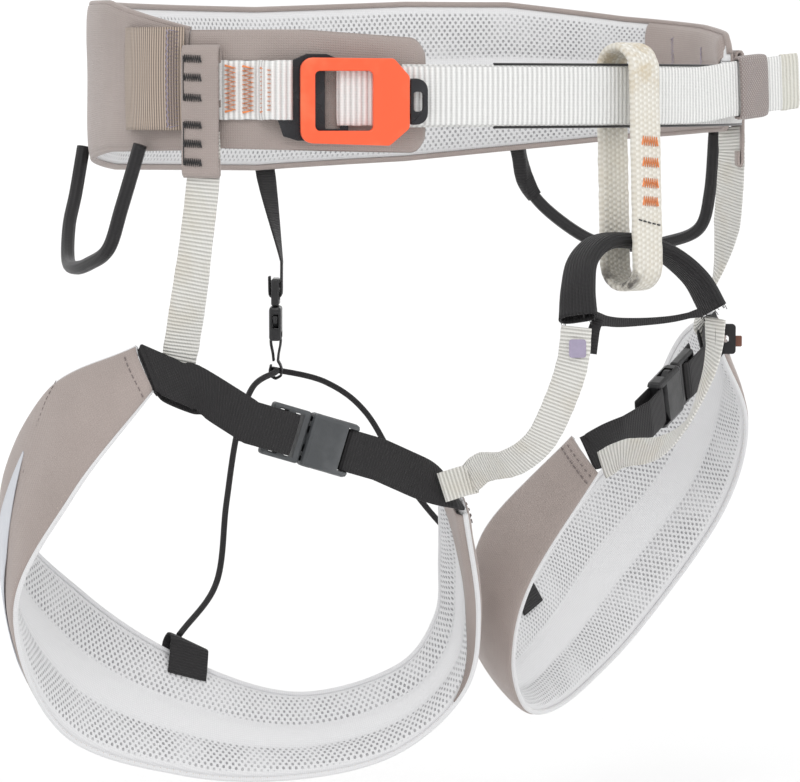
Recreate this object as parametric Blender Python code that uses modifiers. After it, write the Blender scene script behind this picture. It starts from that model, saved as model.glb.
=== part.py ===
"""Climbing harness: padded waist belt, two leg loops, tie-in bridge, belay loop and gear loops.

Metres, +Z up. The wearer faces -Y, and +X is the wearer's left. The origin is the centre of the waist,
at half the height of the belt.
"""

import math

import bmesh
import bpy
import numpy as np
from mathutils import Matrix, Vector

MM = 0.001
GAP = 0.3 * MM

# Waist belt, an ellipse in plan
WAIST_HALF_WIDTH = 139 * MM
WAIST_HALF_DEPTH = 98 * MM
DRAWN_HALF_WIDTH = 139 * MM
DRAWN_HALF_DEPTH = 98 * MM
SHELL_THICKNESS = 1.2 * MM
LINING_THICKNESS = 2.4 * MM
PAD_THICKNESS = 3.6 * MM
SHELL_START_DEG = 195.0
SHELL_END_DEG = -28.0
PAD_END_DEG = 237.0
BELT_ANGLES = (-28, -12, 14, 40, 60, 90, 130, 170, 195, 217, 237)
BELT_TOPS = (21, 25, 29, 35, 35, 32, 32, 31, 21, 21, 18)
BELT_BOTTOMS = (-15, -16, -19, -24, -28, -31, -29, -21, -20, -21, -22)
RIGHT_TAB_DEG = 198.5
LEFT_TAB_DEG = -22.5
PATCH_ANGLE_DEG = 187.0
PATCH_THICKNESS = 1.0 * MM
PATCH_TOP = 22 * MM
PATCH_BOTTOM = -14 * MM

# Webbing
STRAP_WIDTH = 20.5 * MM
STRAP_THICKNESS = 1.0 * MM
LOAD_WIDTH = 22.5 * MM
STRAP_DROP = 2 * MM
PAD_FACE = PAD_THICKNESS / 2
LAYER_1 = PAD_FACE + GAP + STRAP_THICKNESS / 2
TAIL_LAYER = 5.9 * MM
SHORT_WEB_RISE = 6 * MM
SHORT_WEB_END_DEG = 215.2
TAIL_FREE_LENGTH = 80 * MM
KEEPER_RUN = 47 * MM
WEB_WIDTH = 12.5 * MM
WEB_THICKNESS = 1.3 * MM
LEG_STRAP_WIDTH = 15.2 * MM
LEG_STRAP_THICKNESS = 1.1 * MM

# Waist buckle
BUCKLE_ANGLE_DEG = 225.1
BUCKLE_DROP = 4 * MM
BUCKLE_LENGTH = 38 * MM
BUCKLE_HEIGHT = 30.5 * MM
BUCKLE_WINDOW_LENGTH = 20.2 * MM
BUCKLE_WINDOW_SHIFT = -3.9 * MM
BUCKLE_AXIS_SHIFT = 4 * MM
BUCKLE_FRAME_OFFSET = 8.5 * MM
PLATE_TURN_DEG = 3.0
PLATE_THICKNESS = 1.0 * MM
PLATE_OUTLINE = (
    (-20, -6), (-18, -12), (-13, -13.5), (3.2, -13.5), (4.6, -12), (4.6, 12.4), (3.2, 14), (-3, 16.5),
    (-10, 16.5), (-19, 12.5), (-20, 8),
)
PLATE_WINDOW = (-3.5 * MM, 1.8 * MM, -9.4 * MM, 12.6 * MM)
TURN_GAP = 0.4 * MM
BUCKLE_WINDOW_HEIGHT = 21.5 * MM
FRAME_THICKNESS = 3.2 * MM

# Belay loop
BELAY_X = 5 * MM
BELAY_LEAN = 0.035
BELAY_WIDTH = 14.5 * MM
BELAY_THICKNESS = 3.2 * MM
BELAY_FRONT = 13.5 * MM
BELAY_BACK = -2.8 * MM
BELAY_TOP = 15.5 * MM
BELAY_BOTTOM = -71 * MM

# Leg loops, given for the wearer's left leg and mirrored for the right one
LEG_SHELL_THICKNESS = 1.0 * MM
LEG_LINING_THICKNESS = 2.0 * MM
LEG_LOWER_EDGE = (
    (148, -20, -105), (176, -9, -139), (185, 13, -180), (153, 28, -227), (106, 16, -247),
    (66, -3, -251), (33, -22, -243), (12, -37, -220), (13, -46, -190), (34, -61, -149),
)
LEG_UPPER_EDGE = (
    (150, -13, -90), (165, 20, -106), (165, 45, -147), (126, 49, -182), (88, 36, -209),
    (49, 18, -224), (20, -7, -214), (9, -18, -194), (12, -24, -170), (34, -47, -136),
)
LEG_SETTLE_LEFT = 5
LEG_SETTLE_RIGHT = -5
LEG_BUCKLE_CENTRE = (97, -42, -119)
LEG_BUCKLE_ALONG_LEFT = (-112, -36, -45)
LEG_BUCKLE_ALONG_RIGHT = (-112, -36, -36)
LEG_BUCKLE_SETTLE_LEFT = 3.5
LEG_BUCKLE_SETTLE_RIGHT = -4.5
LEG_STEPS = 44
LEG_COLUMNS = 6

# Side-release buckles, sizes for the leg straps
CLIP_HALF_WIDTH = 9.8 * MM
CLIP_HALF_THICKNESS = 3.4 * MM
CLIP_PLUG_LENGTH = 15 * MM
CLIP_SOCKET_LENGTH = 19 * MM
DROP_CLIP_SCALE = 0.72
DROP_CLIP_CENTRE = (5, 91.5, -86)

# Hip web pocket, forward of the leg band's outer end
HIP_WEB_RUN = 11.2 * MM
HIP_WEB_STATIONS = ((137.5, -31, -56), (137, -26.5, -74))

# Cords
RISER_DIAMETER = 2.4 * MM
RISER_TAB_PLACE = (88, 36, -208)
RISER_TAB_RISE = 3.5 * MM
RISER_TAB_WIDTH = 16 * MM
LEG_PIECES = ("leg_shell", "leg_lining", "leg_strap_outer", "leg_hem_loop", "leg_strap_inner",
              "leg_buckle_socket", "leg_buckle_plug", "riser_tab")
GEAR_DIAMETER = 5.0 * MM
GEAR_OFFSET = PAD_FACE + GAP + GEAR_DIAMETER / 2
GEAR_FRONT_DEG = (-12.0, 184.5)
GEAR_REAR_DEG = 38.0
GEAR_STATIONS = (
    (0.0, 0.3, -20), (0.05, 6, -41), (0.12, 9.5, -56), (0.30, 13, -62), (0.48, 14.5, -64), (0.68, 13, -62),
    (0.88, 8.5, -50), (0.97, 4, -38), (1.0, 0.3, -21),
)
CROSS_WIDTH = 4.5 * MM

FABRIC_GREY = (0.375, 0.315, 0.292)
MESH_WHITE = (0.74, 0.74, 0.75)
WEB_WHITE = (0.86, 0.86, 0.83)
BELAY_WHITE = (0.74, 0.70, 0.61)
BLACK = (0.012, 0.011, 0.012)
BUCKLE_GREY = (0.05, 0.055, 0.06)
ORANGE = (0.95, 0.13, 0.05)
PATCH_BEIGE = (0.42, 0.35, 0.29)


def clear_scene():
    for obj in list(bpy.data.objects):
        bpy.data.objects.remove(obj, do_unlink=True)
    for mesh in list(bpy.data.meshes):
        bpy.data.meshes.remove(mesh)


def new_collection(name, hidden=False):
    made = bpy.data.collections.new(name)
    made.hide_render = hidden
    bpy.context.scene.collection.children.link(made)
    return made


def new_material(name, colour, roughness, metallic=0.0):
    made = bpy.data.materials.new(name)
    made.use_nodes = True
    shader = made.node_tree.nodes["Principled BSDF"]
    shader.inputs["Base Color"].default_value = (*colour, 1.0)
    shader.inputs["Roughness"].default_value = roughness
    shader.inputs["Metallic"].default_value = metallic
    made.diffuse_color = (*colour, 1.0)
    return made


clear_scene()
PARTS = new_collection("climbing_harness")
CUTTERS = new_collection("climbing_harness_cutters")
FABRIC = new_material("shell_fabric", FABRIC_GREY, 0.75)
MESH = new_material("air_mesh", MESH_WHITE, 0.85)
WEBBING = new_material("white_webbing", WEB_WHITE, 0.7)
BELAY_WEB = new_material("belay_webbing", BELAY_WHITE, 0.75)
BLACK_WEB = new_material("black_webbing", BLACK, 0.65)
PLASTIC = new_material("buckle_plastic", BUCKLE_GREY, 0.4)
ANODISED = new_material("anodised_aluminium", ORANGE, 0.35, 0.6)
BLACK_METAL = new_material("black_aluminium", (0.02, 0.02, 0.022), 0.3, 0.7)
PATCH = new_material("patch_fabric", PATCH_BEIGE, 0.7)


def link(name, mesh, material, collection=None):
    obj = bpy.data.objects.new(name, mesh)
    mesh.materials.append(material)
    (collection or PARTS).objects.link(obj)
    return obj


def grid_mesh(name, points, wrap=False):
    """A mesh of quads over points[row, column]; wrap joins the last row to the first."""
    rows, columns = points.shape[:2]
    faces = []
    for row in range(rows if wrap else rows - 1):
        after = (row + 1) % rows
        for column in range(columns - 1):
            faces.append((
                row * columns + column,
                row * columns + column + 1,
                after * columns + column + 1,
                after * columns + column,
            ))
    mesh = bpy.data.meshes.new(name)
    mesh.from_pydata([tuple(point) for point in points.reshape(-1, 3)], [], faces)
    mesh.validate()
    return mesh


def solidify(obj, thickness):
    modifier = obj.modifiers.new("thickness", "SOLIDIFY")
    modifier.thickness = thickness
    modifier.offset = 0.0
    modifier.use_even_offset = False
    return modifier


def sheet(name, points, thickness, material, wrap=False):
    obj = link(name, grid_mesh(name, points, wrap), material)
    solidify(obj, thickness)
    return obj


def smooth_path(stations, count):
    """A Catmull-Rom path through the stations, in equal steps of length."""
    stations = np.asarray(stations, float)
    ends = np.vstack([2 * stations[0] - stations[1], stations, 2 * stations[-1] - stations[-2]])
    fine = []
    for i in range(len(stations) - 1):
        a, b, c, d = ends[i : i + 4]
        for t in np.linspace(0, 1, 24, endpoint=False):
            fine.append(0.5 * (
                2 * b + (c - a) * t + (2 * a - 5 * b + 4 * c - d) * t**2
                + (3 * b - a - 3 * c + d) * t**3
            ))
    fine.append(stations[-1])
    fine = np.array(fine)
    run = np.r_[0, np.cumsum(np.linalg.norm(np.diff(fine, axis=0), axis=1))]
    at = np.linspace(0, run[-1], count)
    return np.stack([np.interp(at, run, fine[:, k]) for k in range(fine.shape[1])], axis=1)


def unit(vectors):
    vectors = np.asarray(vectors, float)
    return vectors / np.linalg.norm(vectors, axis=-1, keepdims=True)


def tangents(path):
    return unit(np.gradient(path, axis=0))


def ribbon(name, path, sides, width, thickness, material, wrap=False, skewed=False):
    """Webbing along path, its width along sides; a skewed one keeps the slant of its sides."""
    sides = np.broadcast_to(np.asarray(sides, float), path.shape)
    if wrap:
        along = unit(np.roll(path, -1, axis=0) - np.roll(path, 1, axis=0))
    else:
        along = tangents(path)
    square = sides - (sides * along).sum(axis=1, keepdims=True) * along
    if skewed:
        sides = sides / np.linalg.norm(square, axis=1, keepdims=True)
    else:
        sides = unit(square)
    across = np.array([-0.5, 0.5]) * width
    points = path[:, None, :] + sides[:, None, :] * across[None, :, None]
    return sheet(name, points, thickness, material, wrap)


def tube(name, path, diameter, material, resolution=2):
    """A round cord along path, made from a curve."""
    curve = bpy.data.curves.new(name, "CURVE")
    curve.dimensions = "3D"
    curve.bevel_depth = diameter / 2
    curve.bevel_resolution = resolution
    curve.use_fill_caps = True
    spline = curve.splines.new("POLY")
    spline.points.add(len(path) - 1)
    for point, place in zip(spline.points, path):
        point.co = (*place, 1.0)
    curve.materials.append(material)
    obj = bpy.data.objects.new(name, curve)
    PARTS.objects.link(obj)
    return obj


def with_waist(points):
    """Points in millimetres for the drawn waist, in metres and moved out or in with the waist's own size."""
    grown = np.array([WAIST_HALF_WIDTH / DRAWN_HALF_WIDTH, WAIST_HALF_DEPTH / DRAWN_HALF_DEPTH, 1.0])
    return np.asarray(points, float) * MM * grown


def sided(points, side):
    """Points given for the wearer's left, in metres, for the side +1 (left) or -1 (right)."""
    return np.asarray(points, float) * np.array([side, 1, 1])


def box(name, centre, size, material=None, collection=None, bevel=0.0):
    mesh = bpy.data.meshes.new(name)
    shape = bmesh.new()
    bmesh.ops.create_cube(shape, size=1.0)
    bmesh.ops.scale(shape, vec=size, verts=shape.verts)
    bmesh.ops.translate(shape, vec=centre, verts=shape.verts)
    shape.to_mesh(mesh)
    shape.free()
    obj = link(name, mesh, material or PLASTIC, collection)
    if bevel:
        modifier = obj.modifiers.new("bevel", "BEVEL")
        modifier.width = bevel
        modifier.segments = 2
        modifier.limit_method = "ANGLE"
    return obj


def cut(obj, cutter):
    cutter.hide_render = True
    cutter.display_type = "WIRE"
    modifier = obj.modifiers.new("cut " + cutter.name, "BOOLEAN")
    modifier.operation = "DIFFERENCE"
    modifier.solver = "EXACT"
    modifier.object = cutter


def join(obj, other):
    other.hide_render = True
    other.display_type = "WIRE"
    modifier = obj.modifiers.new("join " + other.name, "BOOLEAN")
    modifier.operation = "UNION"
    modifier.solver = "EXACT"
    modifier.object = other


def outline(name, corners, thickness, material, collection=None, bevel=0.0):
    """A flat plate in local X and Z, its thickness along Y."""
    mesh = bpy.data.meshes.new(name)
    count = len(corners)
    front = [(x, -thickness / 2, z) for x, z in corners]
    back = [(x, thickness / 2, z) for x, z in corners]
    faces = [tuple(range(count)), tuple(range(2 * count - 1, count - 1, -1))]
    for i in range(count):
        after = (i + 1) % count
        faces.append((i, i + count, after + count, after))
    mesh.from_pydata(front + back, [], faces)
    shape = bmesh.new()
    shape.from_mesh(mesh)
    bmesh.ops.recalc_face_normals(shape, faces=shape.faces)
    shape.to_mesh(mesh)
    shape.free()
    obj = link(name, mesh, material, collection)
    if bevel:
        modifier = obj.modifiers.new("bevel", "BEVEL")
        modifier.width = bevel
        modifier.segments = 2
        modifier.limit_method = "ANGLE"
        modifier.angle_limit = math.radians(50)
    return obj


def rounded_rectangle(length, height, radii, steps=4):
    """Corners of a rectangle in X and Z; radii go anticlockwise from the bottom left."""
    corners = []
    signs = ((-1, -1), (1, -1), (1, 1), (-1, 1))
    for k, (sx, sz) in enumerate(signs):
        radius = radii[k]
        centre_x = sx * (length / 2 - radius)
        centre_z = sz * (height / 2 - radius)
        start = math.pi + k * math.pi / 2
        for i in range(steps + 1):
            angle = start + i * math.pi / 2 / steps
            corners.append((centre_x + radius * math.cos(angle), centre_z + radius * math.sin(angle)))
    return corners


def waist_point(degrees, z, offset):
    """A point outside the belt's middle surface by offset."""
    angle = math.radians(degrees)
    x = WAIST_HALF_WIDTH * math.cos(angle)
    y = WAIST_HALF_DEPTH * math.sin(angle)
    normal = unit((WAIST_HALF_DEPTH * math.cos(angle), WAIST_HALF_WIDTH * math.sin(angle)))
    return np.array([x + normal[0] * offset, y + normal[1] * offset, z])


def waist_normal(degrees):
    angle = math.radians(degrees)
    flat = unit((WAIST_HALF_DEPTH * math.cos(angle), WAIST_HALF_WIDTH * math.sin(angle)))
    return np.array([flat[0], flat[1], 0.0])


def waist_frame(degrees, offset):
    """A matrix whose X runs round the belt, increasing angle, whose -Y points out, and whose Z is up."""
    normal = waist_normal(degrees)
    along = np.array([-normal[1], normal[0], 0.0])
    place = waist_point(degrees, 0.0, offset)
    return Matrix((
        (along[0], -normal[0], 0, place[0]),
        (along[1], -normal[1], 0, place[1]),
        (0, 0, 1, 0),
        (0, 0, 0, 1),
    ))


def belt_height(degrees):
    top = np.interp(degrees, BELT_ANGLES, BELT_TOPS) * MM
    bottom = np.interp(degrees, BELT_ANGLES, BELT_BOTTOMS) * MM
    return bottom, top


def belt_sheet(name, start, end, steps, offset, thickness, material, round_start=False, round_end=False,
               inset=0.0):
    """Part of the belt, its ends rounded where asked."""
    rows = []
    round_degrees = 5.0
    for degrees in np.linspace(start, end, steps):
        bottom, top = belt_height(degrees)
        bottom += inset
        top -= inset
        middle = (bottom + top) / 2
        half = (top - bottom) / 2
        shrink = 1.0
        if round_start and degrees - min(start, end) < round_degrees:
            part = 1 - (degrees - min(start, end)) / round_degrees
            shrink = 1 - 0.45 * part**2
        if round_end and max(start, end) - degrees < round_degrees:
            part = 1 - (max(start, end) - degrees) / round_degrees
            shrink = 1 - 0.45 * part**2
        row = [waist_point(degrees, middle + half * shrink * s, offset) for s in (1, 0.5, 0, -0.5, -1)]
        rows.append(row)
    return sheet(name, np.array(rows), thickness, material)


def belt():
    shell_offset = 1.2 * MM
    lining_offset = -0.9 * MM
    seam = 0.15
    belt_sheet("waist_shell", SHELL_END_DEG, SHELL_START_DEG - seam, 60, shell_offset,
               SHELL_THICKNESS, FABRIC, round_start=True)
    belt_sheet("waist_lining", SHELL_END_DEG, SHELL_START_DEG - seam, 60, lining_offset,
               LINING_THICKNESS, MESH, round_start=True, inset=1.0 * MM)
    belt_sheet("front_pad_right", SHELL_START_DEG + seam, PAD_END_DEG, 16, 0.0,
               PAD_THICKNESS, FABRIC, round_end=True)


def waist_ribbon(name, angles, offsets, width, thickness, material, height=0.0):
    path = np.array([waist_point(a, height, o) for a, o in zip(angles, offsets)])
    return ribbon(name, path, (0, 0, 1), width, thickness, material)


def tab_surface(degrees, half_angle, top, bottom, offset):
    rows = []
    for a in np.linspace(degrees - half_angle, degrees + half_angle, 4):
        rows.append([waist_point(a, z, offset) for z in np.linspace(top, bottom, 5)])
    return np.array(rows)


def tabs_and_patches():
    tab_offset = LAYER_1 + WEB_THICKNESS / 2 + GAP + 2.4 * MM
    for side, name in ((1, "left"), (-1, "right")):
        tab_angle = LEFT_TAB_DEG if side > 0 else RIGHT_TAB_DEG
        sheet("tie_tab_" + name, tab_surface(tab_angle, 3.6, 15 * MM, -30 * MM, tab_offset), 1.4 * MM, FABRIC)
        patch_angle = PATCH_ANGLE_DEG if side < 0 else 180 - PATCH_ANGLE_DEG
        rows = []
        half = 7.6
        for a in np.linspace(patch_angle - half, patch_angle + half, 9):
            part = (a - patch_angle) / half
            bulge = 3.0 * MM * (1 - part**2) + 0.3 * MM
            rows.append([
                waist_point(a, z, PAD_FACE + GAP + PATCH_THICKNESS / 2 + bulge)
                for z in np.linspace(PATCH_TOP, PATCH_BOTTOM, 5)
            ])
        sheet("clipper_patch_" + name, np.array(rows), PATCH_THICKNESS, PATCH)


def straps():
    web_offset = PAD_FACE + GAP + WEB_THICKNESS / 2
    short = np.linspace(196.2, SHORT_WEB_END_DEG, 26)
    offsets = []
    for degrees in short:
        over, past_edge = over_plate(degrees, GAP + WEB_THICKNESS / 2)
        share = min(max((past_edge + SHORT_WEB_RISE) / (SHORT_WEB_RISE * 0.8), 0.0), 1.0)
        offsets.append(web_offset + (over - web_offset) * share * share * (3 - 2 * share))
    waist_ribbon("buckle_web_short", short, np.array(offsets), STRAP_WIDTH, WEB_THICKNESS, WEBBING)
    load = np.linspace(LEFT_TAB_DEG + 3.2, -127.0, 40)
    waist_ribbon("waist_strap_load", load, np.full(40, LAYER_1), LOAD_WIDTH, STRAP_THICKNESS, WEBBING,
                 -STRAP_DROP)
    tail_layer = TAIL_LAYER
    radius = PLATE_THICKNESS / 2 + TURN_GAP + STRAP_THICKNESS / 2
    centre_x = PLATE_WINDOW[1] + PLATE_THICKNESS / 2
    path = []
    for x, out in [(centre_x + 2.2 * MM, -radius)] + [
        (centre_x - radius * math.cos(math.radians(a)), radius * math.sin(math.radians(a)))
        for a in (-80, -55, -30, 0, 30, 55, 80)
    ]:
        place_there = plate_matrix() @ Matrix.Translation((x, -out, BUCKLE_DROP - STRAP_DROP))
        path.append(np.array(place_there.translation))
    flat = np.linspace(BUCKLE_ANGLE_DEG + 0.8, 285.0, 24)
    path += [waist_point(a, -STRAP_DROP, tail_layer) for a in flat]
    leave = path[-1]
    along = unit(path[-1] - path[-2])
    rise = np.array([0.0, 0.0, 0.07])
    for run in np.linspace(6 * MM, TAIL_FREE_LENGTH, 14):
        lift = min(run / (30 * MM), 1.0)
        path.append(leave + along * run + rise * run * lift)
    ribbon("waist_strap_tail", np.array(path), (0, 0, 1), STRAP_WIDTH, STRAP_THICKNESS, WEBBING)
    return leave, unit(along + rise)


def keeper(leave, along):
    """A knitted ring round the tail of the strap."""
    centre = leave + along * KEEPER_RUN
    up = unit(np.array([0, 0, 1.0]) - along[2] * along)
    out = np.cross(along, up)
    half_height = STRAP_WIDTH / 2 + 1.5 * MM
    half_depth = 1.9 * MM
    section = []
    for k in range(24):
        angle = 2 * math.pi * k / 24
        c = math.copysign(abs(math.cos(angle)) ** 0.45, math.cos(angle))
        s = math.copysign(abs(math.sin(angle)) ** 0.45, math.sin(angle))
        section.append((half_height * c, half_depth * s))
    rows = []
    for c, s in section:
        rows.append([centre + along * a + up * c + out * s for a in (-8 * MM, 0.0, 8 * MM)])
    sheet("strap_keeper", np.array(rows), 1.2 * MM, FABRIC, wrap=True)


def waist_buckle():
    corners = rounded_rectangle(BUCKLE_LENGTH, BUCKLE_HEIGHT, (6 * MM, 3.5 * MM, 3.5 * MM, 6 * MM))
    frame = outline("buckle_frame", corners, FRAME_THICKNESS, ANODISED)
    window = rounded_rectangle(BUCKLE_WINDOW_LENGTH, BUCKLE_WINDOW_HEIGHT, (2 * MM,) * 4, 3)
    window = [(x + BUCKLE_WINDOW_SHIFT, z) for x, z in window]
    cut(frame, outline("frame_window", window, 8 * MM, PLASTIC, CUTTERS))
    bevel = frame.modifiers.new("bevel", "BEVEL")
    bevel.width = 0.8 * MM
    bevel.segments = 2
    bevel.limit_method = "ANGLE"
    bevel.angle_limit = math.radians(50)
    drop = Matrix.Translation((0, 0, -BUCKLE_DROP))
    matrix = drop @ waist_frame(BUCKLE_ANGLE_DEG, BUCKLE_FRAME_OFFSET)
    bar_shift = Matrix.Translation((-BUCKLE_LENGTH / 2 + BUCKLE_AXIS_SHIFT, 0, 0))
    frame.data.transform(bar_shift.inverted())
    frame.matrix_world = matrix @ bar_shift
    bpy.data.objects["frame_window"].data.transform(bar_shift.inverted())
    bpy.data.objects["frame_window"].matrix_world = matrix @ bar_shift

    plate = outline("buckle_plate", plate_corners(), PLATE_THICKNESS, BLACK_METAL)
    left, right, low, high = PLATE_WINDOW
    hole = [(left, low), (right, low), (right, high), (left, high)]
    cut(plate, outline("plate_window", hole, 8 * MM, PLASTIC, CUTTERS))
    plate.matrix_world = plate_matrix()
    bpy.data.objects["plate_window"].matrix_world = plate_matrix()

    hook = outline("buckle_hook", hook_corners(), 1.2 * MM, BLACK_METAL, bevel=0.25 * MM)
    cut(hook, outline("hook_slot", [(x + 1.3 * MM, z) for x, z in
                                     rounded_rectangle(3.2 * MM, 6.5 * MM, (1.5 * MM,) * 4, 3)], 8 * MM,
                      PLASTIC, CUTTERS))
    hook_matrix = matrix @ Matrix.Translation((BUCKLE_LENGTH / 2 + 2.0 * MM, 0.9 * MM, 0))
    hook.matrix_world = hook_matrix
    bpy.data.objects["hook_slot"].matrix_world = hook_matrix


def plate_matrix():
    """The plate's place: it lies over the strap that runs behind it."""
    offset = PAD_FACE + GAP + WEB_THICKNESS + GAP + PLATE_THICKNESS / 2 + 0.1 * MM
    place_there = waist_frame(BUCKLE_ANGLE_DEG - PLATE_TURN_DEG, offset)
    return Matrix.Translation((0, 0, -BUCKLE_DROP)) @ place_there


def over_plate(degrees, clearance):
    """How far out a layer lies to clear the plate's front, and how far it is past the plate's edge."""
    to_plate = np.array(plate_matrix().inverted())
    foot = to_plate @ np.append(waist_point(degrees, 0.0, 0.0), 1.0)
    tip = to_plate @ np.append(waist_point(degrees, 0.0, 1.0), 1.0)
    out = (foot[1] + PLATE_THICKNESS / 2 + clearance) / (foot[1] - tip[1])
    nearest = min(x for x, _ in plate_corners())
    return out, foot[0] - nearest


def plate_corners():
    return [(x * MM, z * MM) for x, z in PLATE_OUTLINE]


def hook_corners():
    shape = [(-1.65, -8), (1.0, -8), (3.4, -6.5), (4.6, -3.4), (4.6, 3.4), (3.4, 6.5), (1.0, 8), (-1.65, 8)]
    return [(x * MM, z * MM) for x, z in shape]


def hip_webs():
    top_offset = PAD_FACE + GAP + WEB_THICKNESS / 2 + 0.6 * MM
    for side, name in ((1, "left"), (-1, "right")):
        degrees = LEFT_TAB_DEG if side > 0 else RIGHT_TAB_DEG
        start = waist_point(degrees, -14.5 * MM, top_offset)
        low = waist_point(degrees, -30.0 * MM, top_offset)
        end, forward, across, out = leg_outer_frame(side)
        across = unit(across - (across @ forward) * forward)
        pocket = end + forward * HIP_WEB_RUN - out * 0.45 * MM
        down = [start, low]
        down += [sided(with_waist(p), side) for p in HIP_WEB_STATIONS]
        down += [pocket + across * 10 * MM, pocket + across * 2 * MM, pocket - across * 5.5 * MM]
        path = smooth_path(down, 30)
        normal = waist_normal(degrees)
        along_belt = np.array([-normal[1], normal[0], 0.0]) * side
        turn = np.clip((np.arange(30) - 12) / 10.0, 0, 1)[:, None]
        across = along_belt * (1 - turn) - forward * turn
        ribbon("hip_web_" + name, path, across, WEB_WIDTH, WEB_THICKNESS, WEBBING)


def leg_outer_frame(side):
    """Middle of the leg band's outer end, with the ways forward, across and out there."""
    lower, upper = leg_rails(side)
    across = unit(upper[0] - lower[0])
    _, out, _ = leg_buckle_axes(side)
    forward = unit(leg_buckle_centre(side) - (lower[0] + upper[0]) / 2)
    normal = unit(np.cross(forward, across))
    if normal @ out < 0:
        normal = -normal
    return (lower[0] + upper[0]) / 2, forward, across, normal


def belay_loop():
    front_y = -WAIST_HALF_DEPTH - BELAY_FRONT
    back_y = -WAIST_HALF_DEPTH - BELAY_BACK
    middle_y = (front_y + back_y) / 2
    half_depth = (back_y - front_y) / 2
    path = []
    steps = 9
    for k in range(steps + 1):
        angle = math.pi * k / steps
        path.append((BELAY_X, middle_y - half_depth * math.cos(angle),
                     BELAY_TOP - half_depth * (1 - math.sin(angle))))
    for z in np.linspace(BELAY_TOP - half_depth - 8 * MM, BELAY_BOTTOM + half_depth + 8 * MM, 6):
        path.append((BELAY_X, back_y, z))
    for k in range(steps + 1):
        angle = math.pi * k / steps
        path.append((BELAY_X, middle_y + half_depth * math.cos(angle),
                     BELAY_BOTTOM + half_depth * (1 - math.sin(angle))))
    for z in np.linspace(BELAY_BOTTOM + half_depth + 8 * MM, BELAY_TOP - half_depth - 8 * MM, 6):
        path.append((BELAY_X, front_y, z))
    rows = []
    path = np.array(path)
    path[:, 0] -= BELAY_LEAN * path[:, 2]
    for centre in path:
        rows.append([centre + np.array([BELAY_WIDTH * s, 0, 0]) for s in (-0.5, -0.25, 0, 0.25, 0.5)])
    loop = sheet("belay_loop", np.array(rows), BELAY_THICKNESS, BELAY_WEB, wrap=True)
    return loop


SLEEVE_STATIONS = (
    (-35, -118, -80), (-29.5, -112.5, -70), (-20, -105.6, -60.5), (-8, -103.2, -54.5), (8, -103.2, -54.5),
    (22, -105, -58.5), (31, -112.5, -68), (35.5, -118, -80),
)
BRIDGE_STATIONS = (
    (36, -118.2, -83), (36.5, -117, -95), (37, -112, -108), (37.5, -102, -124), (38, -88, -133),
    (36.5, -72, -136), (34.5, -62.5, -141),
)
CROSS_STATIONS = ((-27.5, -119.2, -80.5), (-12, -117, -82.5), (12, -117, -82.5), (27.5, -119.2, -80.5))


def with_front(points):
    """Points in millimetres near the belt's front for the drawn waist, in metres and moved with the front."""
    return np.asarray(points, float) * MM - np.array([0, WAIST_HALF_DEPTH - DRAWN_HALF_DEPTH, 0])


def flat_tube(name, path, sides, width, depth, thickness, material, taper):
    """A tube of flattened section, open at both ends."""
    along = tangents(path)
    sides = unit(sides - (sides * along).sum(axis=1, keepdims=True) * along)
    out = np.cross(along, sides)
    ring = []
    for k in range(12):
        angle = 2 * math.pi * k / 12
        c = math.copysign(abs(math.cos(angle)) ** 0.6, math.cos(angle))
        s = math.copysign(abs(math.sin(angle)) ** 0.8, math.sin(angle))
        ring.append((c * width / 2, s * depth / 2))
    rows = np.array([path + sides * c * taper[:, None] + out * s for c, s in ring])
    return sheet(name, rows, thickness, material, wrap=True)


def bridge_stations(side):
    """The bridge web's course: its top goes with the belt's front, its foot with the leg loops."""
    share = np.clip((np.arange(len(BRIDGE_STATIONS)) - 2) / 3.0, 0, 1)[:, None]
    return sided(with_front(BRIDGE_STATIONS) * (1 - share) + with_waist(BRIDGE_STATIONS) * share, side)


def bridge():
    path = smooth_path(with_front(SLEEVE_STATIONS), 25)
    turn = np.linspace(0, 1, 25)[:, None]
    sides = np.array([0.45, -0.89, 0.0]) * (1 - turn) + np.array([-0.1, -0.99, 0.0]) * turn
    taper = 1.0 + 0.32 * np.abs(np.linspace(-1, 1, 25)) ** 2
    flat_tube("tie_in_sleeve", path, sides, 10.0 * MM, 4.8 * MM, 0.9 * MM, BLACK_WEB, taper)
    ribbon("bridge_core", path[1:-1], sides[1:-1], 8.6 * MM, 1.6 * MM, WEBBING)
    for side, name in ((1, "left"), (-1, "right")):
        web = smooth_path(bridge_stations(side), 22)
        part = np.linspace(0, 1, 22)[:, None]
        first = np.array([0.45, -0.89, 0.0]) if side < 0 else np.array([-0.1, -0.99, 0.0])
        last = sided((-0.15, -0.3, -0.95), side)
        middle = sided((-0.75, -0.45, -0.35), side)
        blend = np.clip(part * 2, 0, 1)
        blend_2 = np.clip(part * 2 - 1, 0, 1)
        across = first * (1 - blend) + middle * blend * (1 - blend_2) + last * blend_2
        ribbon("bridge_web_" + name, web, across, WEB_WIDTH * 0.9, WEB_THICKNESS, WEBBING)
    cross = smooth_path(with_front(CROSS_STATIONS), 12)
    ribbon("cross_elastic", cross, (0, 0.15, 1), CROSS_WIDTH, 1.0 * MM, BLACK_WEB)


def leg_rails(side):
    settle = LEG_SETTLE_LEFT if side > 0 else LEG_SETTLE_RIGHT
    share = np.minimum(np.arange(len(LEG_LOWER_EDGE)) / 3.0, 1.0)
    drop = np.stack([0 * share, 0 * share, settle * share], axis=1)
    lower = smooth_path(sided(with_waist(np.array(LEG_LOWER_EDGE) + drop), side), LEG_STEPS)
    upper = smooth_path(sided(with_waist(np.array(LEG_UPPER_EDGE) + drop), side), LEG_STEPS)
    return lower, upper


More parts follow.
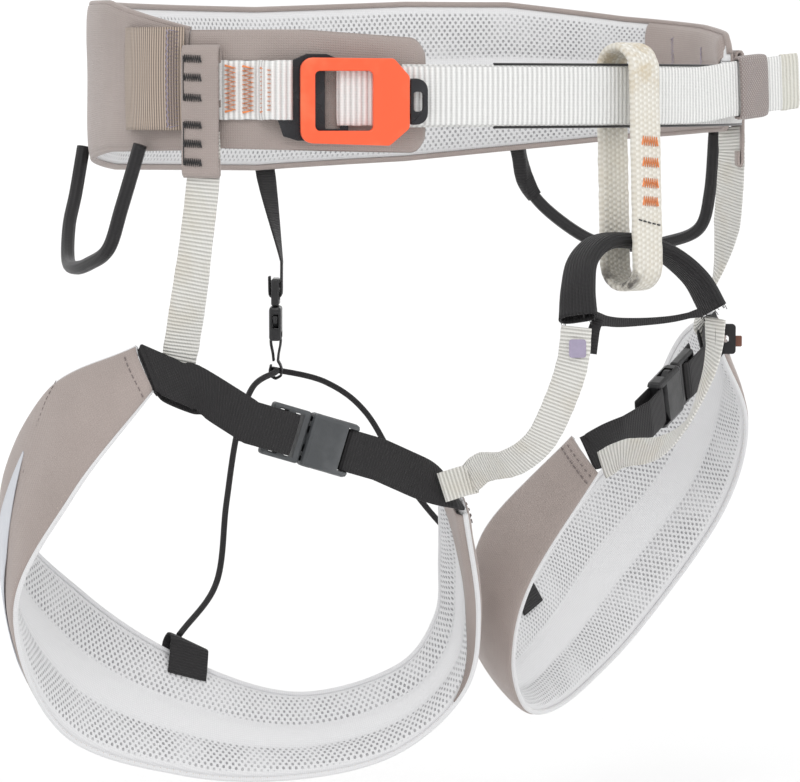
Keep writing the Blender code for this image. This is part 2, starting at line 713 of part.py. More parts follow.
def leg_grid(side, offset, inset):
    """The leg band moved outwards by offset, its edges drawn in by inset."""
    lower, upper = leg_rails(side)
    across = unit(upper - lower)
    lower = lower + across * inset
    upper = upper - across * inset
    parts = np.linspace(0, 1, LEG_COLUMNS)
    points = lower[:, None] * (1 - parts)[None, :, None] + upper[:, None] * parts[None, :, None]
    along = np.gradient(points, axis=0)
    over = np.gradient(points, axis=1)
    normal = unit(np.cross(along, over)) * side
    belly = 4 * parts * (1 - parts) * 2.0 * MM
    return points + normal * (offset + belly[None, :, None])


def leg_loops():
    for side, name in ((1, "left"), (-1, "right")):
        shell = leg_grid(side, 0.65 * MM, 0.0)
        lining = leg_grid(side, -1.15 * MM, 0.6 * MM)
        if side < 0:
            shell = shell[:, ::-1]
            lining = lining[:, ::-1]
        sheet("leg_shell_" + name, shell, LEG_SHELL_THICKNESS, FABRIC)
        sheet("leg_lining_" + name, lining, LEG_LINING_THICKNESS, MESH)


def leg_buckle_centre(side):
    settle = LEG_BUCKLE_SETTLE_LEFT if side > 0 else LEG_BUCKLE_SETTLE_RIGHT
    return sided(with_waist(LEG_BUCKLE_CENTRE), side) + np.array([0, 0, settle * MM])


def leg_buckle_axes(side):
    """Along from plug to socket, out of the leg, and across."""
    along = unit(sided(LEG_BUCKLE_ALONG_LEFT if side > 0 else LEG_BUCKLE_ALONG_RIGHT, side))
    across = sided((-0.2, -0.12, 0.97), side)
    across = unit(across - (across @ along) * along)
    out = np.cross(along, across)
    if out[1] > 0:
        out = -out
    return along, out, np.cross(out, along)


def clip_matrix(centre, along, out, across):
    matrix = Matrix.Identity(4)
    for row in range(3):
        matrix[row][0] = along[row]
        matrix[row][1] = out[row]
        matrix[row][2] = across[row]
        matrix[row][3] = centre[row]
    return matrix


def clip_arm_corners():
    """One arm of the plug, on the +Z side, from its root at X = 1 to the grip."""
    shape = [(0.6, 4.8), (8.0, 5.6), (8.4, 4.6), (11.6, 4.9), (12.4, 6.0), (11.8, 7.4), (9.6, 8.9),
             (7.0, 9.7), (5.6, 9.6), (5.2, 8.4), (5.0, 6.9), (0.6, 6.4)]
    return [(x * MM, z * MM) for x, z in shape]


def place(obj, matrix):
    obj.matrix_world = matrix
    return obj


def clip(prefix, suffix, matrix, scale):
    """A side-release buckle: socket, plug and its two arms."""
    sized = matrix @ Matrix.Scale(scale, 4)
    width = CLIP_HALF_WIDTH
    thick = CLIP_HALF_THICKNESS
    socket = box(prefix + "_socket" + suffix, (CLIP_SOCKET_LENGTH / 2 + 0.5 * MM, 0, 0),
                 (CLIP_SOCKET_LENGTH, 2 * thick, 2 * width), PLASTIC, bevel=1.6 * MM)
    tag = prefix + suffix
    cavity = box(tag + "_cavity", (5.5 * MM, 0, 0), (15.6 * MM, 3.8 * MM, 16.4 * MM), collection=CUTTERS)
    sides = box(tag + "_sides", (8.6 * MM, 0, 0), (7.8 * MM, 3.8 * MM, 30 * MM), collection=CUTTERS)
    slot = box(tag + "_slot", (16.0 * MM, 0, 0), (2.7 * MM, 12 * MM, 15.8 * MM), collection=CUTTERS)
    relief = (6.2 * MM, 4.0 * MM, 15.8 * MM)
    relief_1 = box(tag + "_relief_1", (18.6 * MM, 3.5 * MM, 0), relief, collection=CUTTERS)
    relief_2 = box(tag + "_relief_2", (18.6 * MM, -3.5 * MM, 0), relief, collection=CUTTERS)
    for cutter in (cavity, sides, slot, relief_1, relief_2):
        place(cutter, sized)
        cut(socket, cutter)
    place(socket, sized)

    plug = box(prefix + "_plug" + suffix, (-CLIP_PLUG_LENGTH / 2, 0, 0),
               (CLIP_PLUG_LENGTH, 4.4 * MM, 2 * width - 0.4 * MM), PLASTIC, bevel=1.0 * MM)
    tongue = box(tag + "_tongue", (3.5 * MM, 0, 0), (10 * MM, 2.4 * MM, 4.0 * MM), collection=CUTTERS)
    place(tongue, sized)
    join(plug, tongue)
    window_1 = box(tag + "_window_1", (-10.9 * MM, 0, 0), (3.4 * MM, 12 * MM, 15.8 * MM), collection=CUTTERS)
    window_2 = box(tag + "_window_2", (-4.6 * MM, 0, 0), (3.6 * MM, 12 * MM, 15.8 * MM), collection=CUTTERS)
    for cutter in (window_1, window_2):
        place(cutter, sized)
        cut(plug, cutter)
    place(plug, sized)

    for sign, side_name in ((1, "a"), (-1, "b")):
        corners = [(x, z * sign) for x, z in clip_arm_corners()]
        arm = outline(prefix + "_arm_" + side_name + suffix, corners, 2.8 * MM, PLASTIC, bevel=0.3 * MM)
        pivot = Matrix.Translation((1.0 * MM, 0, sign * 5.6 * MM))
        arm.data.transform(pivot.inverted())
        place(arm, sized @ pivot)


def local_path(matrix, points):
    made = []
    for x, y in points:
        place_here = matrix @ Matrix.Translation((x * MM, y * MM, 0))
        made.append(tuple(place_here.translation))
    return np.array(made)


def leg_straps():
    for side, name in ((1, "left"), (-1, "right")):
        along, out, across = leg_buckle_axes(side)
        centre = leg_buckle_centre(side)
        matrix = clip_matrix(centre, along, out, across)
        clip("leg_buckle", "_" + name, matrix, 1.0)

        lower, upper = leg_rails(side)
        shell_across_outer = unit(upper[0] - lower[0])
        shell_across_inner = unit(upper[-1] - lower[-1])
        outer_end, start_dir, _, start_out = leg_outer_frame(side)
        inner_end = (lower[-1] + upper[-1]) / 2
        end_dir = unit(lower[-1] + upper[-1] - lower[-2] - upper[-2])
        end_dir = unit(end_dir + 2.0 * unit(centre - inner_end))
        end_dir = unit(end_dir - (end_dir @ shell_across_inner) * shell_across_inner)

        turn = local_path(matrix, ((-22, 3.3), (-15, 3.3), (-8, 3.3), (-5.9, 3.1), (-4.8, 2.2), (-4.6, 0.6),
                                   (-4.6, -0.6), (-4.8, -2.2), (-5.9, -3.1), (-8, -3.3), (-16, -3.4), (-23, -3.8)))
        run = [outer_end + start_dir * a * MM + start_out * 1.5 * MM for a in (2.4, 9, 16, 22)]
        lead = smooth_path(run + [turn[0]], 16)
        path = np.vstack([lead[:-1], turn])
        weights = np.clip((np.arange(len(path)) - 4) / 9.0, 0, 1)[:, None]
        sides = shell_across_outer * (1 - weights) + across * weights
        if (shell_across_outer @ across) < 0:
            sides = -shell_across_outer * (1 - weights) + across * weights
        ribbon("leg_strap_outer_" + name, path, sides, LEG_STRAP_WIDTH, LEG_STRAP_THICKNESS, BLACK_WEB,
               skewed=True)

        turn = local_path(matrix, ((31, -2.7), (24, -2.6), (19.5, -2.5), (17.2, -2.2), (16.2, -1.2),
                                   (16.0, 0.0), (16.2, 1.2), (17.2, 2.2), (19.5, 2.5), (24, 2.6), (30, 2.6)))
        run = [inner_end + end_dir * 7 * MM, inner_end + end_dir * 2.3 * MM]
        lead = smooth_path([turn[-1]] + run, 12)
        path = np.vstack([turn, lead[1:]])
        weights = np.clip((np.arange(len(path)) - 15) / 6.0, 0, 1)[:, None]
        end_across = shell_across_inner if shell_across_inner @ across > 0 else -shell_across_inner
        sides = across * (1 - weights) + end_across * weights
        ribbon("leg_strap_inner_" + name, path, sides, LEG_STRAP_WIDTH, LEG_STRAP_THICKNESS, BLACK_WEB)

        hem = [outer_end + start_dir * a * MM - start_out * 2.8 * MM for a in (4.5, 10, 17)]
        path = smooth_path(hem, 8)
        ribbon("leg_hem_loop_" + name, path, shell_across_outer, LEG_STRAP_WIDTH, LEG_STRAP_THICKNESS, BLACK_WEB,
               skewed=True)


def rear_drop():
    centre = with_waist(DROP_CLIP_CENTRE)
    along = np.array([0.0, 0.0, -1.0])
    out = unit(np.array([0.731, -0.682, 0.0]))
    matrix = clip_matrix(centre, along, out, np.cross(out, along))
    clip("drop_buckle", "", matrix, DROP_CLIP_SCALE)
    sized = matrix @ Matrix.Scale(DROP_CLIP_SCALE, 4)
    across = np.cross(out, along)

    top = waist_point(87.0, -22 * MM, 2.7 * MM)
    low = waist_point(87.0, -32 * MM, 2.7 * MM)
    turn = local_path(sized, ((-24, 3.4), (-15, 3.3), (-8, 3.3), (-5.9, 3.1), (-4.8, 2.2), (-4.6, 0.6),
                              (-4.6, -0.6), (-4.8, -2.2), (-5.9, -3.1), (-8, -3.3), (-16, -3.4)))
    lead = smooth_path([top, low, turn[0]], 12)
    path = np.vstack([lead[:-1], turn])
    weights = np.clip((np.arange(len(path)) - 3) / 8.0, 0, 1)[:, None]
    belt_side = np.array([1.0, 0.0, 0.0])
    ribbon("drop_strap", path, belt_side * (1 - weights) + across * weights, 10 * MM, 1.0 * MM, BLACK_WEB)

    turn = local_path(sized, ((31, -1.2), (27, -1.6), (22, -2.6), (19.5, -2.8), (17.2, -2.3), (16.2, -1.2),
                              (16.0, 0.0), (16.2, 1.2), (17.2, 2.3), (19.5, 2.8), (22, 2.6), (27, 1.6),
                              (31, 1.2), (33.5, 2.6), (36.5, 3.4), (39.5, 2.8), (41, 0.0), (39.5, -2.8),
                              (36.5, -3.4), (33.4, -2.7)))
    ribbon("drop_loop", turn, across, 8 * MM, 0.9 * MM, BLACK_WEB)
    return local_path(sized, ((36.9, 0.0),))[0]


def riser_tab_frame(side):
    """A point on the leg band's upper rear edge, with the ways into the band, along it and outwards."""
    lower, upper = leg_rails(side)
    middle = sided(with_waist(RISER_TAB_PLACE), side)
    i = int(np.argmin(np.linalg.norm(upper - middle, axis=1)))
    grid = leg_grid(side, 0.0, 0.0)
    edge = grid[i, -1]
    inward = unit(grid[i, -2] - edge)
    along = unit(grid[i + 1, -1] - grid[i - 1, -1])
    return edge, inward, along, unit(np.cross(along, inward)) * side


def risers(hook):
    stations = {1: ((19.4, -8.4, -5), (33, -18, -18), (46, -28, -46), (62, -41, -70)),
                -1: ((20, -9, -5), (34, -16, -22), (48, -26, -48), (64, -39, -76))}
    through = unit(np.array([0.682, 0.731, 0.0]))
    for side, name in ((1, "left"), (-1, "right")):
        path = [hook + through * side * 0.2 * MM, hook + through * side * 6.0 * MM]
        path += [hook + sided(with_waist(station), side) for station in stations[side]]
        edge, inward, along, _ = riser_tab_frame(side)
        path.append(edge - inward * (RISER_TAB_RISE + 5.4 * MM) - along * 3.0 * MM)
        path = smooth_path(path, 28)
        tube("riser_cord_" + name, path, RISER_DIAMETER, BLACK_WEB)


def riser_tabs():
    profile = ((11, 3.3), (5, 3.3), (0.5, 3.2), (-2.5, 2.6), (-4.2, 0.0), (-2.5, -3.4), (0.5, -4.0), (5, -4.2),
               (11, -4.2))
    for side, name in ((1, "left"), (-1, "right")):
        edge, inward, along, normal = riser_tab_frame(side)
        path = [edge + inward * (down * MM - RISER_TAB_RISE) - normal * over * MM for down, over in profile]
        ribbon("riser_tab_" + name, np.array(path), along, RISER_TAB_WIDTH, 1.0 * MM, BLACK_WEB)


def gear_loops():
    for side, name in ((1, "left"), (-1, "right")):
        front_deg = GEAR_FRONT_DEG[0] if side > 0 else GEAR_FRONT_DEG[1]
        rear_deg = GEAR_REAR_DEG if side > 0 else 180 - GEAR_REAR_DEG
        front = waist_point(front_deg, 0.0, GEAR_OFFSET)
        rear = waist_point(rear_deg, 0.0, GEAR_OFFSET)
        out = np.array([rear[1] - front[1], front[0] - rear[0], 0.0])
        out = unit(out) * math.copysign(1.0, out[0] * side)
        path = []
        for part, bulge, z in GEAR_STATIONS:
            path.append(front * (1 - part) + rear * part + out * bulge * MM + np.array([0, 0, z * MM]))
        tube("gear_loop_" + name, smooth_path(path, 34), GEAR_DIAMETER, BLACK_WEB, 3)


def set_origin(obj, point):
    """Moves an object's origin to a world point without moving its surface."""
    place_there = obj.matrix_world.copy()
    place_there.translation = Vector(point)
    obj.data.transform(place_there.inverted() @ obj.matrix_world)
    obj.matrix_world = place_there


def middle_of(obj):
    return np.mean([np.array(obj.matrix_world @ Vector(c)) for c in obj.bound_box], axis=0)


def leg_hinge(side):
    """Two points on a leg loop's hinge line: the hip web's foot and the bridge web's foot."""
    end, forward, _, _ = leg_outer_frame(side)
    return end + forward * HIP_WEB_RUN, bridge_stations(side)[-1]


def gear_hinge(side):
    """Two points on a gear loop's hinge line: where its front and rear ends meet the belt."""
    front_deg = GEAR_FRONT_DEG[0] if side > 0 else GEAR_FRONT_DEG[1]
    rear_deg = GEAR_REAR_DEG if side > 0 else 180 - GEAR_REAR_DEG
    low_front, low_rear = GEAR_STATIONS[0][2] * MM, GEAR_STATIONS[-1][2] * MM
    return waist_point(front_deg, low_front, GEAR_OFFSET), waist_point(rear_deg, low_rear, GEAR_OFFSET)


def set_origins():
    """Every moving piece turns or slides about its own origin."""
    bpy.context.view_layer.update()
    for side, name in ((1, "left"), (-1, "right")):
        foot, inner_foot = leg_hinge(side)
        for piece in LEG_PIECES:
            set_origin(bpy.data.objects[piece + "_" + name], (foot + inner_foot) / 2)
        set_origin(bpy.data.objects["gear_loop_" + name], gear_hinge(side)[0])
    for name in ("belay_loop", "strap_keeper"):
        set_origin(bpy.data.objects[name], middle_of(bpy.data.objects[name]))


def build():
    belt()
    tabs_and_patches()
    leave, along = straps()
    keeper(leave, along)
    waist_buckle()
    hip_webs()
    belay_loop()
    bridge()
    leg_loops()
    leg_straps()
    hook = rear_drop()
    risers(hook)
    riser_tabs()
    gear_loops()
    set_origins()


build()
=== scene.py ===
import math

import bmesh
import bpy
import numpy as np
from mathutils import Matrix, Vector, noise


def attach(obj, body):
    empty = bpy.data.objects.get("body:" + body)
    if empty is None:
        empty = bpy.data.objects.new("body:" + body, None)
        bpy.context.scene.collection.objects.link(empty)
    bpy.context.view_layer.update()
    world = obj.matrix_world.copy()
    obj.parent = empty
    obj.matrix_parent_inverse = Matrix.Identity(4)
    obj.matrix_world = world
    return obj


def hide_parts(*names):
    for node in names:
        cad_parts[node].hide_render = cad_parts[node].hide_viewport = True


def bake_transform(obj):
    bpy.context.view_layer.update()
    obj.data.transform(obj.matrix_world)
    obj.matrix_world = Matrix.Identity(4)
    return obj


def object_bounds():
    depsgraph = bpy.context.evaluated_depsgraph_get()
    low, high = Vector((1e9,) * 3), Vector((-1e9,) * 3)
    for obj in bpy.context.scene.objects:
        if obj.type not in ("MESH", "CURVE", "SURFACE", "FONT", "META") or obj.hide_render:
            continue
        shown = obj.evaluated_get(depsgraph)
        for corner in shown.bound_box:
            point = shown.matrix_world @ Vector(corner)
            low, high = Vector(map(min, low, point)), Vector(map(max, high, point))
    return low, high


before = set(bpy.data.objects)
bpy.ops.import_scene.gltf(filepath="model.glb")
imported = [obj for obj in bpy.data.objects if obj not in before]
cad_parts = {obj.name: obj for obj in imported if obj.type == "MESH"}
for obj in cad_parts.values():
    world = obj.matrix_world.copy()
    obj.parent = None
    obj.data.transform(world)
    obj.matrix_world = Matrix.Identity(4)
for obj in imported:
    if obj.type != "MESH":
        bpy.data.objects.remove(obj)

cadLow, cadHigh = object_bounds()
mm = 0.001
bothSides = ((1, "left"), (-1, "right"))
replacedNodes = set()


# camera, floor and light

view = {
    "place": (-0.9514, -1.0202, 0.0),
    "turn": (85.297, 0.0, -42.655),
    "lens": 164.6,
}
studio = {
    "floorColor": (0.93, 0.93, 0.93),
    "floorGap": 0.06,
    "worldStrength": 0.95,
    "keyPower": 9.0,
    "fillPower": 3.5,
    "rimPower": 3.0,
}


def setCamera():
    camera = bpy.data.cameras.new("camera")
    camera.lens = view["lens"]
    camera.sensor_width = 36
    camera.clip_end = 20
    holder = bpy.data.objects.new("camera", camera)
    holder.location = view["place"]
    holder.rotation_euler = [math.radians(a) for a in view["turn"]]
    bpy.context.scene.collection.objects.link(holder)
    bpy.context.scene.camera = holder


def addLight(name, place, aim, size, power):
    lamp = bpy.data.lights.new(name, "AREA")
    lamp.energy = power
    lamp.size = size
    holder = bpy.data.objects.new(name, lamp)
    holder.location = place
    holder.rotation_euler = (Vector(aim) - Vector(place)).to_track_quat("-Z", "Y").to_euler()
    bpy.context.scene.collection.objects.link(holder)


def setStudio():
    world = bpy.data.worlds.new("studio")
    bpy.context.scene.world = world
    world.use_nodes = True
    background = world.node_tree.nodes["Background"]
    background.inputs["Color"].default_value = (1, 1, 1, 1)
    background.inputs["Strength"].default_value = studio["worldStrength"]
    bpy.context.scene.view_settings.view_transform = "Standard"
    addLight("keyLight", (-1.3, -1.1, 1.3), (0, 0, -0.1), 0.9, studio["keyPower"])
    addLight("fillLight", (0.9, -1.6, 0.5), (0, 0, -0.1), 1.2, studio["fillPower"])
    addLight("rimLight", (0.6, 1.3, 1.0), (0, 0, -0.1), 1.0, studio["rimPower"])

    # a paper sweep: flat under the harness, then curved up behind it
    profile = [(-4.0, 0.0), (-1.0, 0.0), (0.5, 0.0)]
    for k in range(1, 25):
        turn = math.pi / 2 * k / 24
        profile.append((0.5 + 1.2 * math.sin(turn), 1.2 * (1 - math.cos(turn))))
    profile.append((1.7, 4.0))
    points, faces = [], []
    for run, rise in profile:
        for wide in (-4.0, 4.0):
            points.append((0.678 * run - 0.7355 * wide, 0.7355 * run + 0.678 * wide, rise))
    for k in range(len(profile) - 1):
        faces.append((2 * k, 2 * k + 1, 2 * k + 3, 2 * k + 2))
    mesh = bpy.data.meshes.new("floor")
    mesh.from_pydata(points, [], faces)
    mesh.shade_smooth()
    floor = bpy.data.objects.new("floor", mesh)
    floor.location = (0, 0, cadLow[2] - studio["floorGap"])
    paint, tree, shader = newMaterial("floorPaint", studio["floorColor"], 0.9)
    grain = noiseOf(tree, 3.0, 2)
    shader.inputs["Specular IOR Level"].default_value = 0.2
    tint(tree, shader, grain, (0.92, 0.92, 0.92), (0.94, 0.94, 0.94))
    mesh.materials.append(paint)
    bpy.context.scene.collection.objects.link(floor)


# node helpers

def newMaterial(name, color, roughness, metallic=0.0, sheen=0.0):
    made = bpy.data.materials.new(name)
    made.use_nodes = True
    made.diffuse_color = (*color, 1)
    tree = made.node_tree
    shader = tree.nodes["Principled BSDF"]
    shader.inputs["Base Color"].default_value = (*color, 1)
    shader.inputs["Roughness"].default_value = roughness
    shader.inputs["Metallic"].default_value = metallic
    shader.inputs["Sheen Weight"].default_value = sheen
    shader.inputs["Sheen Roughness"].default_value = 0.5
    return made, tree, shader


def calc(tree, operation, first, second=None, third=None, clamp=False):
    node = tree.nodes.new("ShaderNodeMath")
    node.operation = operation
    node.use_clamp = clamp
    for socket, value in zip(node.inputs, (first, second, third)):
        if value is None:
            continue
        if isinstance(value, bpy.types.NodeSocket):
            tree.links.new(value, socket)
        else:
            socket.default_value = value
    return node.outputs[0]


def uvOf(tree, layer="UVMap"):
    source = tree.nodes.new("ShaderNodeUVMap")
    source.uv_map = layer
    split = tree.nodes.new("ShaderNodeSeparateXYZ")
    tree.links.new(source.outputs["UV"], split.inputs[0])
    return split.outputs[0], split.outputs[1]


def noiseOf(tree, scale, detail=3, rough=0.55):
    place = tree.nodes.new("ShaderNodeTexCoord")
    cloud = tree.nodes.new("ShaderNodeTexNoise")
    cloud.inputs["Scale"].default_value = scale
    cloud.inputs["Detail"].default_value = detail
    cloud.inputs["Roughness"].default_value = rough
    tree.links.new(place.outputs["Object"], cloud.inputs["Vector"])
    return cloud.outputs["Fac"]


def spread(tree, value, low, high, toLow=0.0, toHigh=1.0):
    node = tree.nodes.new("ShaderNodeMapRange")
    node.interpolation_type = "SMOOTHSTEP"
    tree.links.new(value, node.inputs["Value"])
    for key, number in (("From Min", low), ("From Max", high), ("To Min", toLow), ("To Max", toHigh)):
        node.inputs[key].default_value = number
    return node.outputs["Result"]


def mixColors(tree, factor, first, second):
    node = tree.nodes.new("ShaderNodeMix")
    node.data_type = "RGBA"
    tree.links.new(factor, node.inputs[0])
    for socket, value in ((node.inputs[6], first), (node.inputs[7], second)):
        if isinstance(value, bpy.types.NodeSocket):
            tree.links.new(value, socket)
        else:
            socket.default_value = (*value, 1)
    return node.outputs[2]


def tint(tree, shader, factor, first, second):
    made = mixColors(tree, factor, first, second)
    tree.links.new(made, shader.inputs["Base Color"])
    return made


def bump(tree, shader, height, depth, strength=1.0):
    node = tree.nodes.new("ShaderNodeBump")
    node.inputs["Strength"].default_value = strength
    node.inputs["Distance"].default_value = depth
    tree.links.new(height, node.inputs["Height"])
    tree.links.new(node.outputs["Normal"], shader.inputs["Normal"])


def ribs(tree, along, pitch):
    # soft waves from 0 to 1 along a coordinate in metres
    wave = calc(tree, "SINE", calc(tree, "MULTIPLY", along, 2 * math.pi / pitch))
    return calc(tree, "MULTIPLY_ADD", wave, 0.5, 0.5)


def inBands(tree, share, bands, soft=0.015):
    # 1 inside the listed shares of the width, 0 outside
    total = None
    for low, high in bands:
        rise = spread(tree, share, low - soft, low + soft)
        fall = spread(tree, share, high - soft, high + soft, 1.0, 0.0)
        inside = calc(tree, "MULTIPLY", rise, fall)
        total = inside if total is None else calc(tree, "MAXIMUM", total, inside)
    return total


# materials

fabricLook = {"color": (0.375, 0.315, 0.292), "dark": (0.30, 0.25, 0.23), "weave": 0.85 * mm, "depth": 0.12 * mm}
meshLook = {"color": (0.80, 0.80, 0.805), "hole": (0.24, 0.24, 0.25), "pitchAlong": 2.4 * mm, "pitchAcross": 1.6 * mm}
webLook = {"color": (0.92, 0.92, 0.905), "groove": (0.60, 0.60, 0.59), "rib": 2.0 * mm, "depth": 0.45 * mm}
belayLook = {"color": (0.80, 0.77, 0.70), "dirt": (0.55, 0.44, 0.27), "smudge": (0.10, 0.09, 0.08)}
blackLook = {"color": (0.014, 0.013, 0.014), "ridge": (0.024, 0.023, 0.024), "rib": 1.1 * mm}
plasticLook = {"color": (0.052, 0.056, 0.060), "worn": (0.10, 0.105, 0.11)}
orangeLook = {"color": (0.96, 0.125, 0.045), "worn": (0.98, 0.20, 0.09)}
patchLook = {"light": (0.60, 0.48, 0.39), "dark": (0.10, 0.078, 0.065), "rib": 0.95 * mm}


def fabricMaterial():
    made, tree, shader = newMaterial("shellFabric", fabricLook["color"], 0.72, sheen=0.25)
    u, v = uvOf(tree)
    warp = ribs(tree, u, fabricLook["weave"])
    weft = ribs(tree, v, fabricLook["weave"])
    cloth = calc(tree, "MULTIPLY", warp, weft)
    cloud = noiseOf(tree, 45, 4)
    shade = calc(tree, "MULTIPLY_ADD", cloth, 0.35, calc(tree, "MULTIPLY", cloud, 0.65), clamp=True)
    base = tint(tree, shader, shade, fabricLook["dark"], (0.43, 0.365, 0.34))
    bump(tree, shader, calc(tree, "ADD", cloth, calc(tree, "MULTIPLY", noiseOf(tree, 160, 2), 1.5)),
         fabricLook["depth"])
    return made


def airMeshMaterial(name, bands, pitchScale=1.0):
    made, tree, shader = newMaterial(name, meshLook["color"], 0.8, sheen=0.3)
    u, v = uvOf(tree)
    _, share = uvOf(tree, "share")
    cellU = calc(tree, "DIVIDE", u, meshLook["pitchAlong"] * pitchScale)
    cellV = calc(tree, "DIVIDE", v, meshLook["pitchAcross"] * pitchScale)
    row = calc(tree, "FLOOR", cellV)
    shift = calc(tree, "MULTIPLY", calc(tree, "FLOORED_MODULO", row, 2.0), 0.5)
    partU = calc(tree, "SUBTRACT", calc(tree, "FRACT", calc(tree, "ADD", cellU, shift)), 0.5)
    partV = calc(tree, "SUBTRACT", calc(tree, "FRACT", cellV), 0.5)
    far = calc(tree, "SQRT", calc(
        tree, "ADD",
        calc(tree, "POWER", calc(tree, "MULTIPLY", partU, 2.1), 2.0),
        calc(tree, "POWER", calc(tree, "MULTIPLY", partV, 1.15), 2.0)))
    hole = spread(tree, far, 0.26, 0.52, 0.8, 0.0)
    inside = inBands(tree, share, bands)
    patchy = spread(tree, noiseOf(tree, 55, 2), 0.30, 0.62, 0.55, 1.0)
    depth = calc(tree, "MULTIPLY", calc(tree, "MULTIPLY", hole, inside), patchy)
    knit = calc(tree, "MULTIPLY", ribs(tree, u, 0.8 * mm), ribs(tree, v, 0.8 * mm))
    plain = mixColors(tree, calc(tree, "MULTIPLY", knit, 0.6), (0.70, 0.70, 0.71), (0.84, 0.84, 0.845))
    tint(tree, shader, depth, plain, meshLook["hole"])
    height = calc(tree, "SUBTRACT", calc(tree, "MULTIPLY", knit, 0.25), calc(tree, "MULTIPLY", depth, 1.6))
    bump(tree, shader, height, 0.35 * mm)
    return made


def webMaterial(name, color, groove, rib, depth=webLook["depth"], dirt=0.0):
    made, tree, shader = newMaterial(name, color, 0.62, sheen=0.2)
    u, v = uvOf(tree)
    crest = ribs(tree, u, rib)
    crest = calc(tree, "POWER", crest, 0.55)
    threads = ribs(tree, v, 0.55 * mm)
    mixed = calc(tree, "MULTIPLY_ADD", threads, 0.22, calc(tree, "MULTIPLY", crest, 0.78))
    base = tint(tree, shader, mixed, groove, color)
    if dirt:
        cloud = spread(tree, noiseOf(tree, 60, 4), 0.45, 0.75)
        base = mixColors(tree, calc(tree, "MULTIPLY", cloud, dirt), base, (0.62, 0.55, 0.42))
        tree.links.new(base, shader.inputs["Base Color"])
    bump(tree, shader, calc(tree, "MULTIPLY_ADD", threads, 0.2, crest), depth)
    return made


def belayMaterial():
    made, tree, shader = newMaterial("belayWeave", belayLook["color"], 0.68, sheen=0.2)
    u, v = uvOf(tree)
    cellV = calc(tree, "DIVIDE", v, 2.1 * mm)
    shift = calc(tree, "MULTIPLY", calc(tree, "FLOORED_MODULO", calc(tree, "FLOOR", cellV), 2.0), 1.0 * mm)
    crossing = ribs(tree, calc(tree, "ADD", u, shift), 2.0 * mm)
    column = ribs(tree, v, 2.1 * mm)
    weave = calc(tree, "POWER", calc(tree, "MULTIPLY", calc(tree, "MULTIPLY_ADD", crossing, 0.8, 0.2),
                                     calc(tree, "MULTIPLY_ADD", column, 0.7, 0.3)), 0.6)
    base = mixColors(tree, weave, (0.56, 0.52, 0.44), (0.86, 0.84, 0.78))
    place = tree.nodes.new("ShaderNodeTexCoord")
    split = tree.nodes.new("ShaderNodeSeparateXYZ")
    tree.links.new(place.outputs["Object"], split.inputs[0])
    cloud = noiseOf(tree, 140, 5, 0.7)
    top = spread(tree, split.outputs[2], -10 * mm, 13 * mm, 0.12, 0.75)
    dusty = calc(tree, "MULTIPLY", spread(tree, cloud, 0.40, 0.68), top)
    base = mixColors(tree, dusty, base, belayLook["dirt"])
    low = spread(tree, split.outputs[2], -70 * mm, -58 * mm, 1.0, 0.0)
    left = spread(tree, split.outputs[0], 0.5 * mm, 6 * mm, 1.0, 0.0)
    grimy = calc(tree, "MULTIPLY", calc(tree, "MULTIPLY", low, left), spread(tree, cloud, 0.42, 0.62))
    base = mixColors(tree, grimy, base, belayLook["smudge"])
    tree.links.new(base, shader.inputs["Base Color"])
    bump(tree, shader, weave, 0.5 * mm)
    return made


def blackMaterial(name, rib, lengthwise=False, rough=0.62, depth=0.2 * mm, color=blackLook["color"]):
    made, tree, shader = newMaterial(name, color, rough, sheen=0.03)
    shader.inputs["Specular IOR Level"].default_value = 0.3
    u, v = uvOf(tree)
    crest = ribs(tree, v if lengthwise else u, rib)
    cross = ribs(tree, u if lengthwise else v, rib * 0.6)
    weave = calc(tree, "MULTIPLY_ADD", cross, 0.25, calc(tree, "MULTIPLY", crest, 0.75))
    tint(tree, shader, calc(tree, "MULTIPLY", weave, calc(tree, "MULTIPLY_ADD", noiseOf(tree, 90, 3), 0.8, 0.4)),
         color, blackLook["ridge"])
    bump(tree, shader, weave, depth)
    return made


def plasticMaterial(name, color, worn, rough, metallic=0.0, grain=0.06 * mm):
    made, tree, shader = newMaterial(name, color, rough, metallic)
    cloud = noiseOf(tree, 70, 3)
    tint(tree, shader, spread(tree, cloud, 0.45, 0.8), color, worn)
    gloss = spread(tree, noiseOf(tree, 130, 2), 0.3, 0.7, rough - 0.07, rough + 0.08)
    tree.links.new(gloss, shader.inputs["Roughness"])
    bump(tree, shader, noiseOf(tree, 900, 2), grain)
    return made


def patchMaterial():
    made, tree, shader = newMaterial("patchRibs", patchLook["light"], 0.7, sheen=0.2)
    u, v = uvOf(tree)
    crest = calc(tree, "POWER", ribs(tree, u, patchLook["rib"]), 0.8)
    fine = ribs(tree, v, 0.5 * mm)
    tint(tree, shader, calc(tree, "MULTIPLY_ADD", fine, 0.15, calc(tree, "MULTIPLY", crest, 0.85)),
         patchLook["dark"], patchLook["light"])
    bump(tree, shader, crest, 0.3 * mm)
    return made


def knitMaterial():
    made, tree, shader = newMaterial("keeperKnit", fabricLook["color"], 0.8, sheen=0.3)
    u, v = uvOf(tree)
    one = ribs(tree, calc(tree, "ADD", u, v), 1.5 * mm)
    two = ribs(tree, calc(tree, "SUBTRACT", u, v), 1.5 * mm)
    loops = calc(tree, "MULTIPLY", one, two)
    tint(tree, shader, loops, (0.24, 0.20, 0.19), (0.47, 0.40, 0.375))
    bump(tree, shader, loops, 0.35 * mm)
    return made


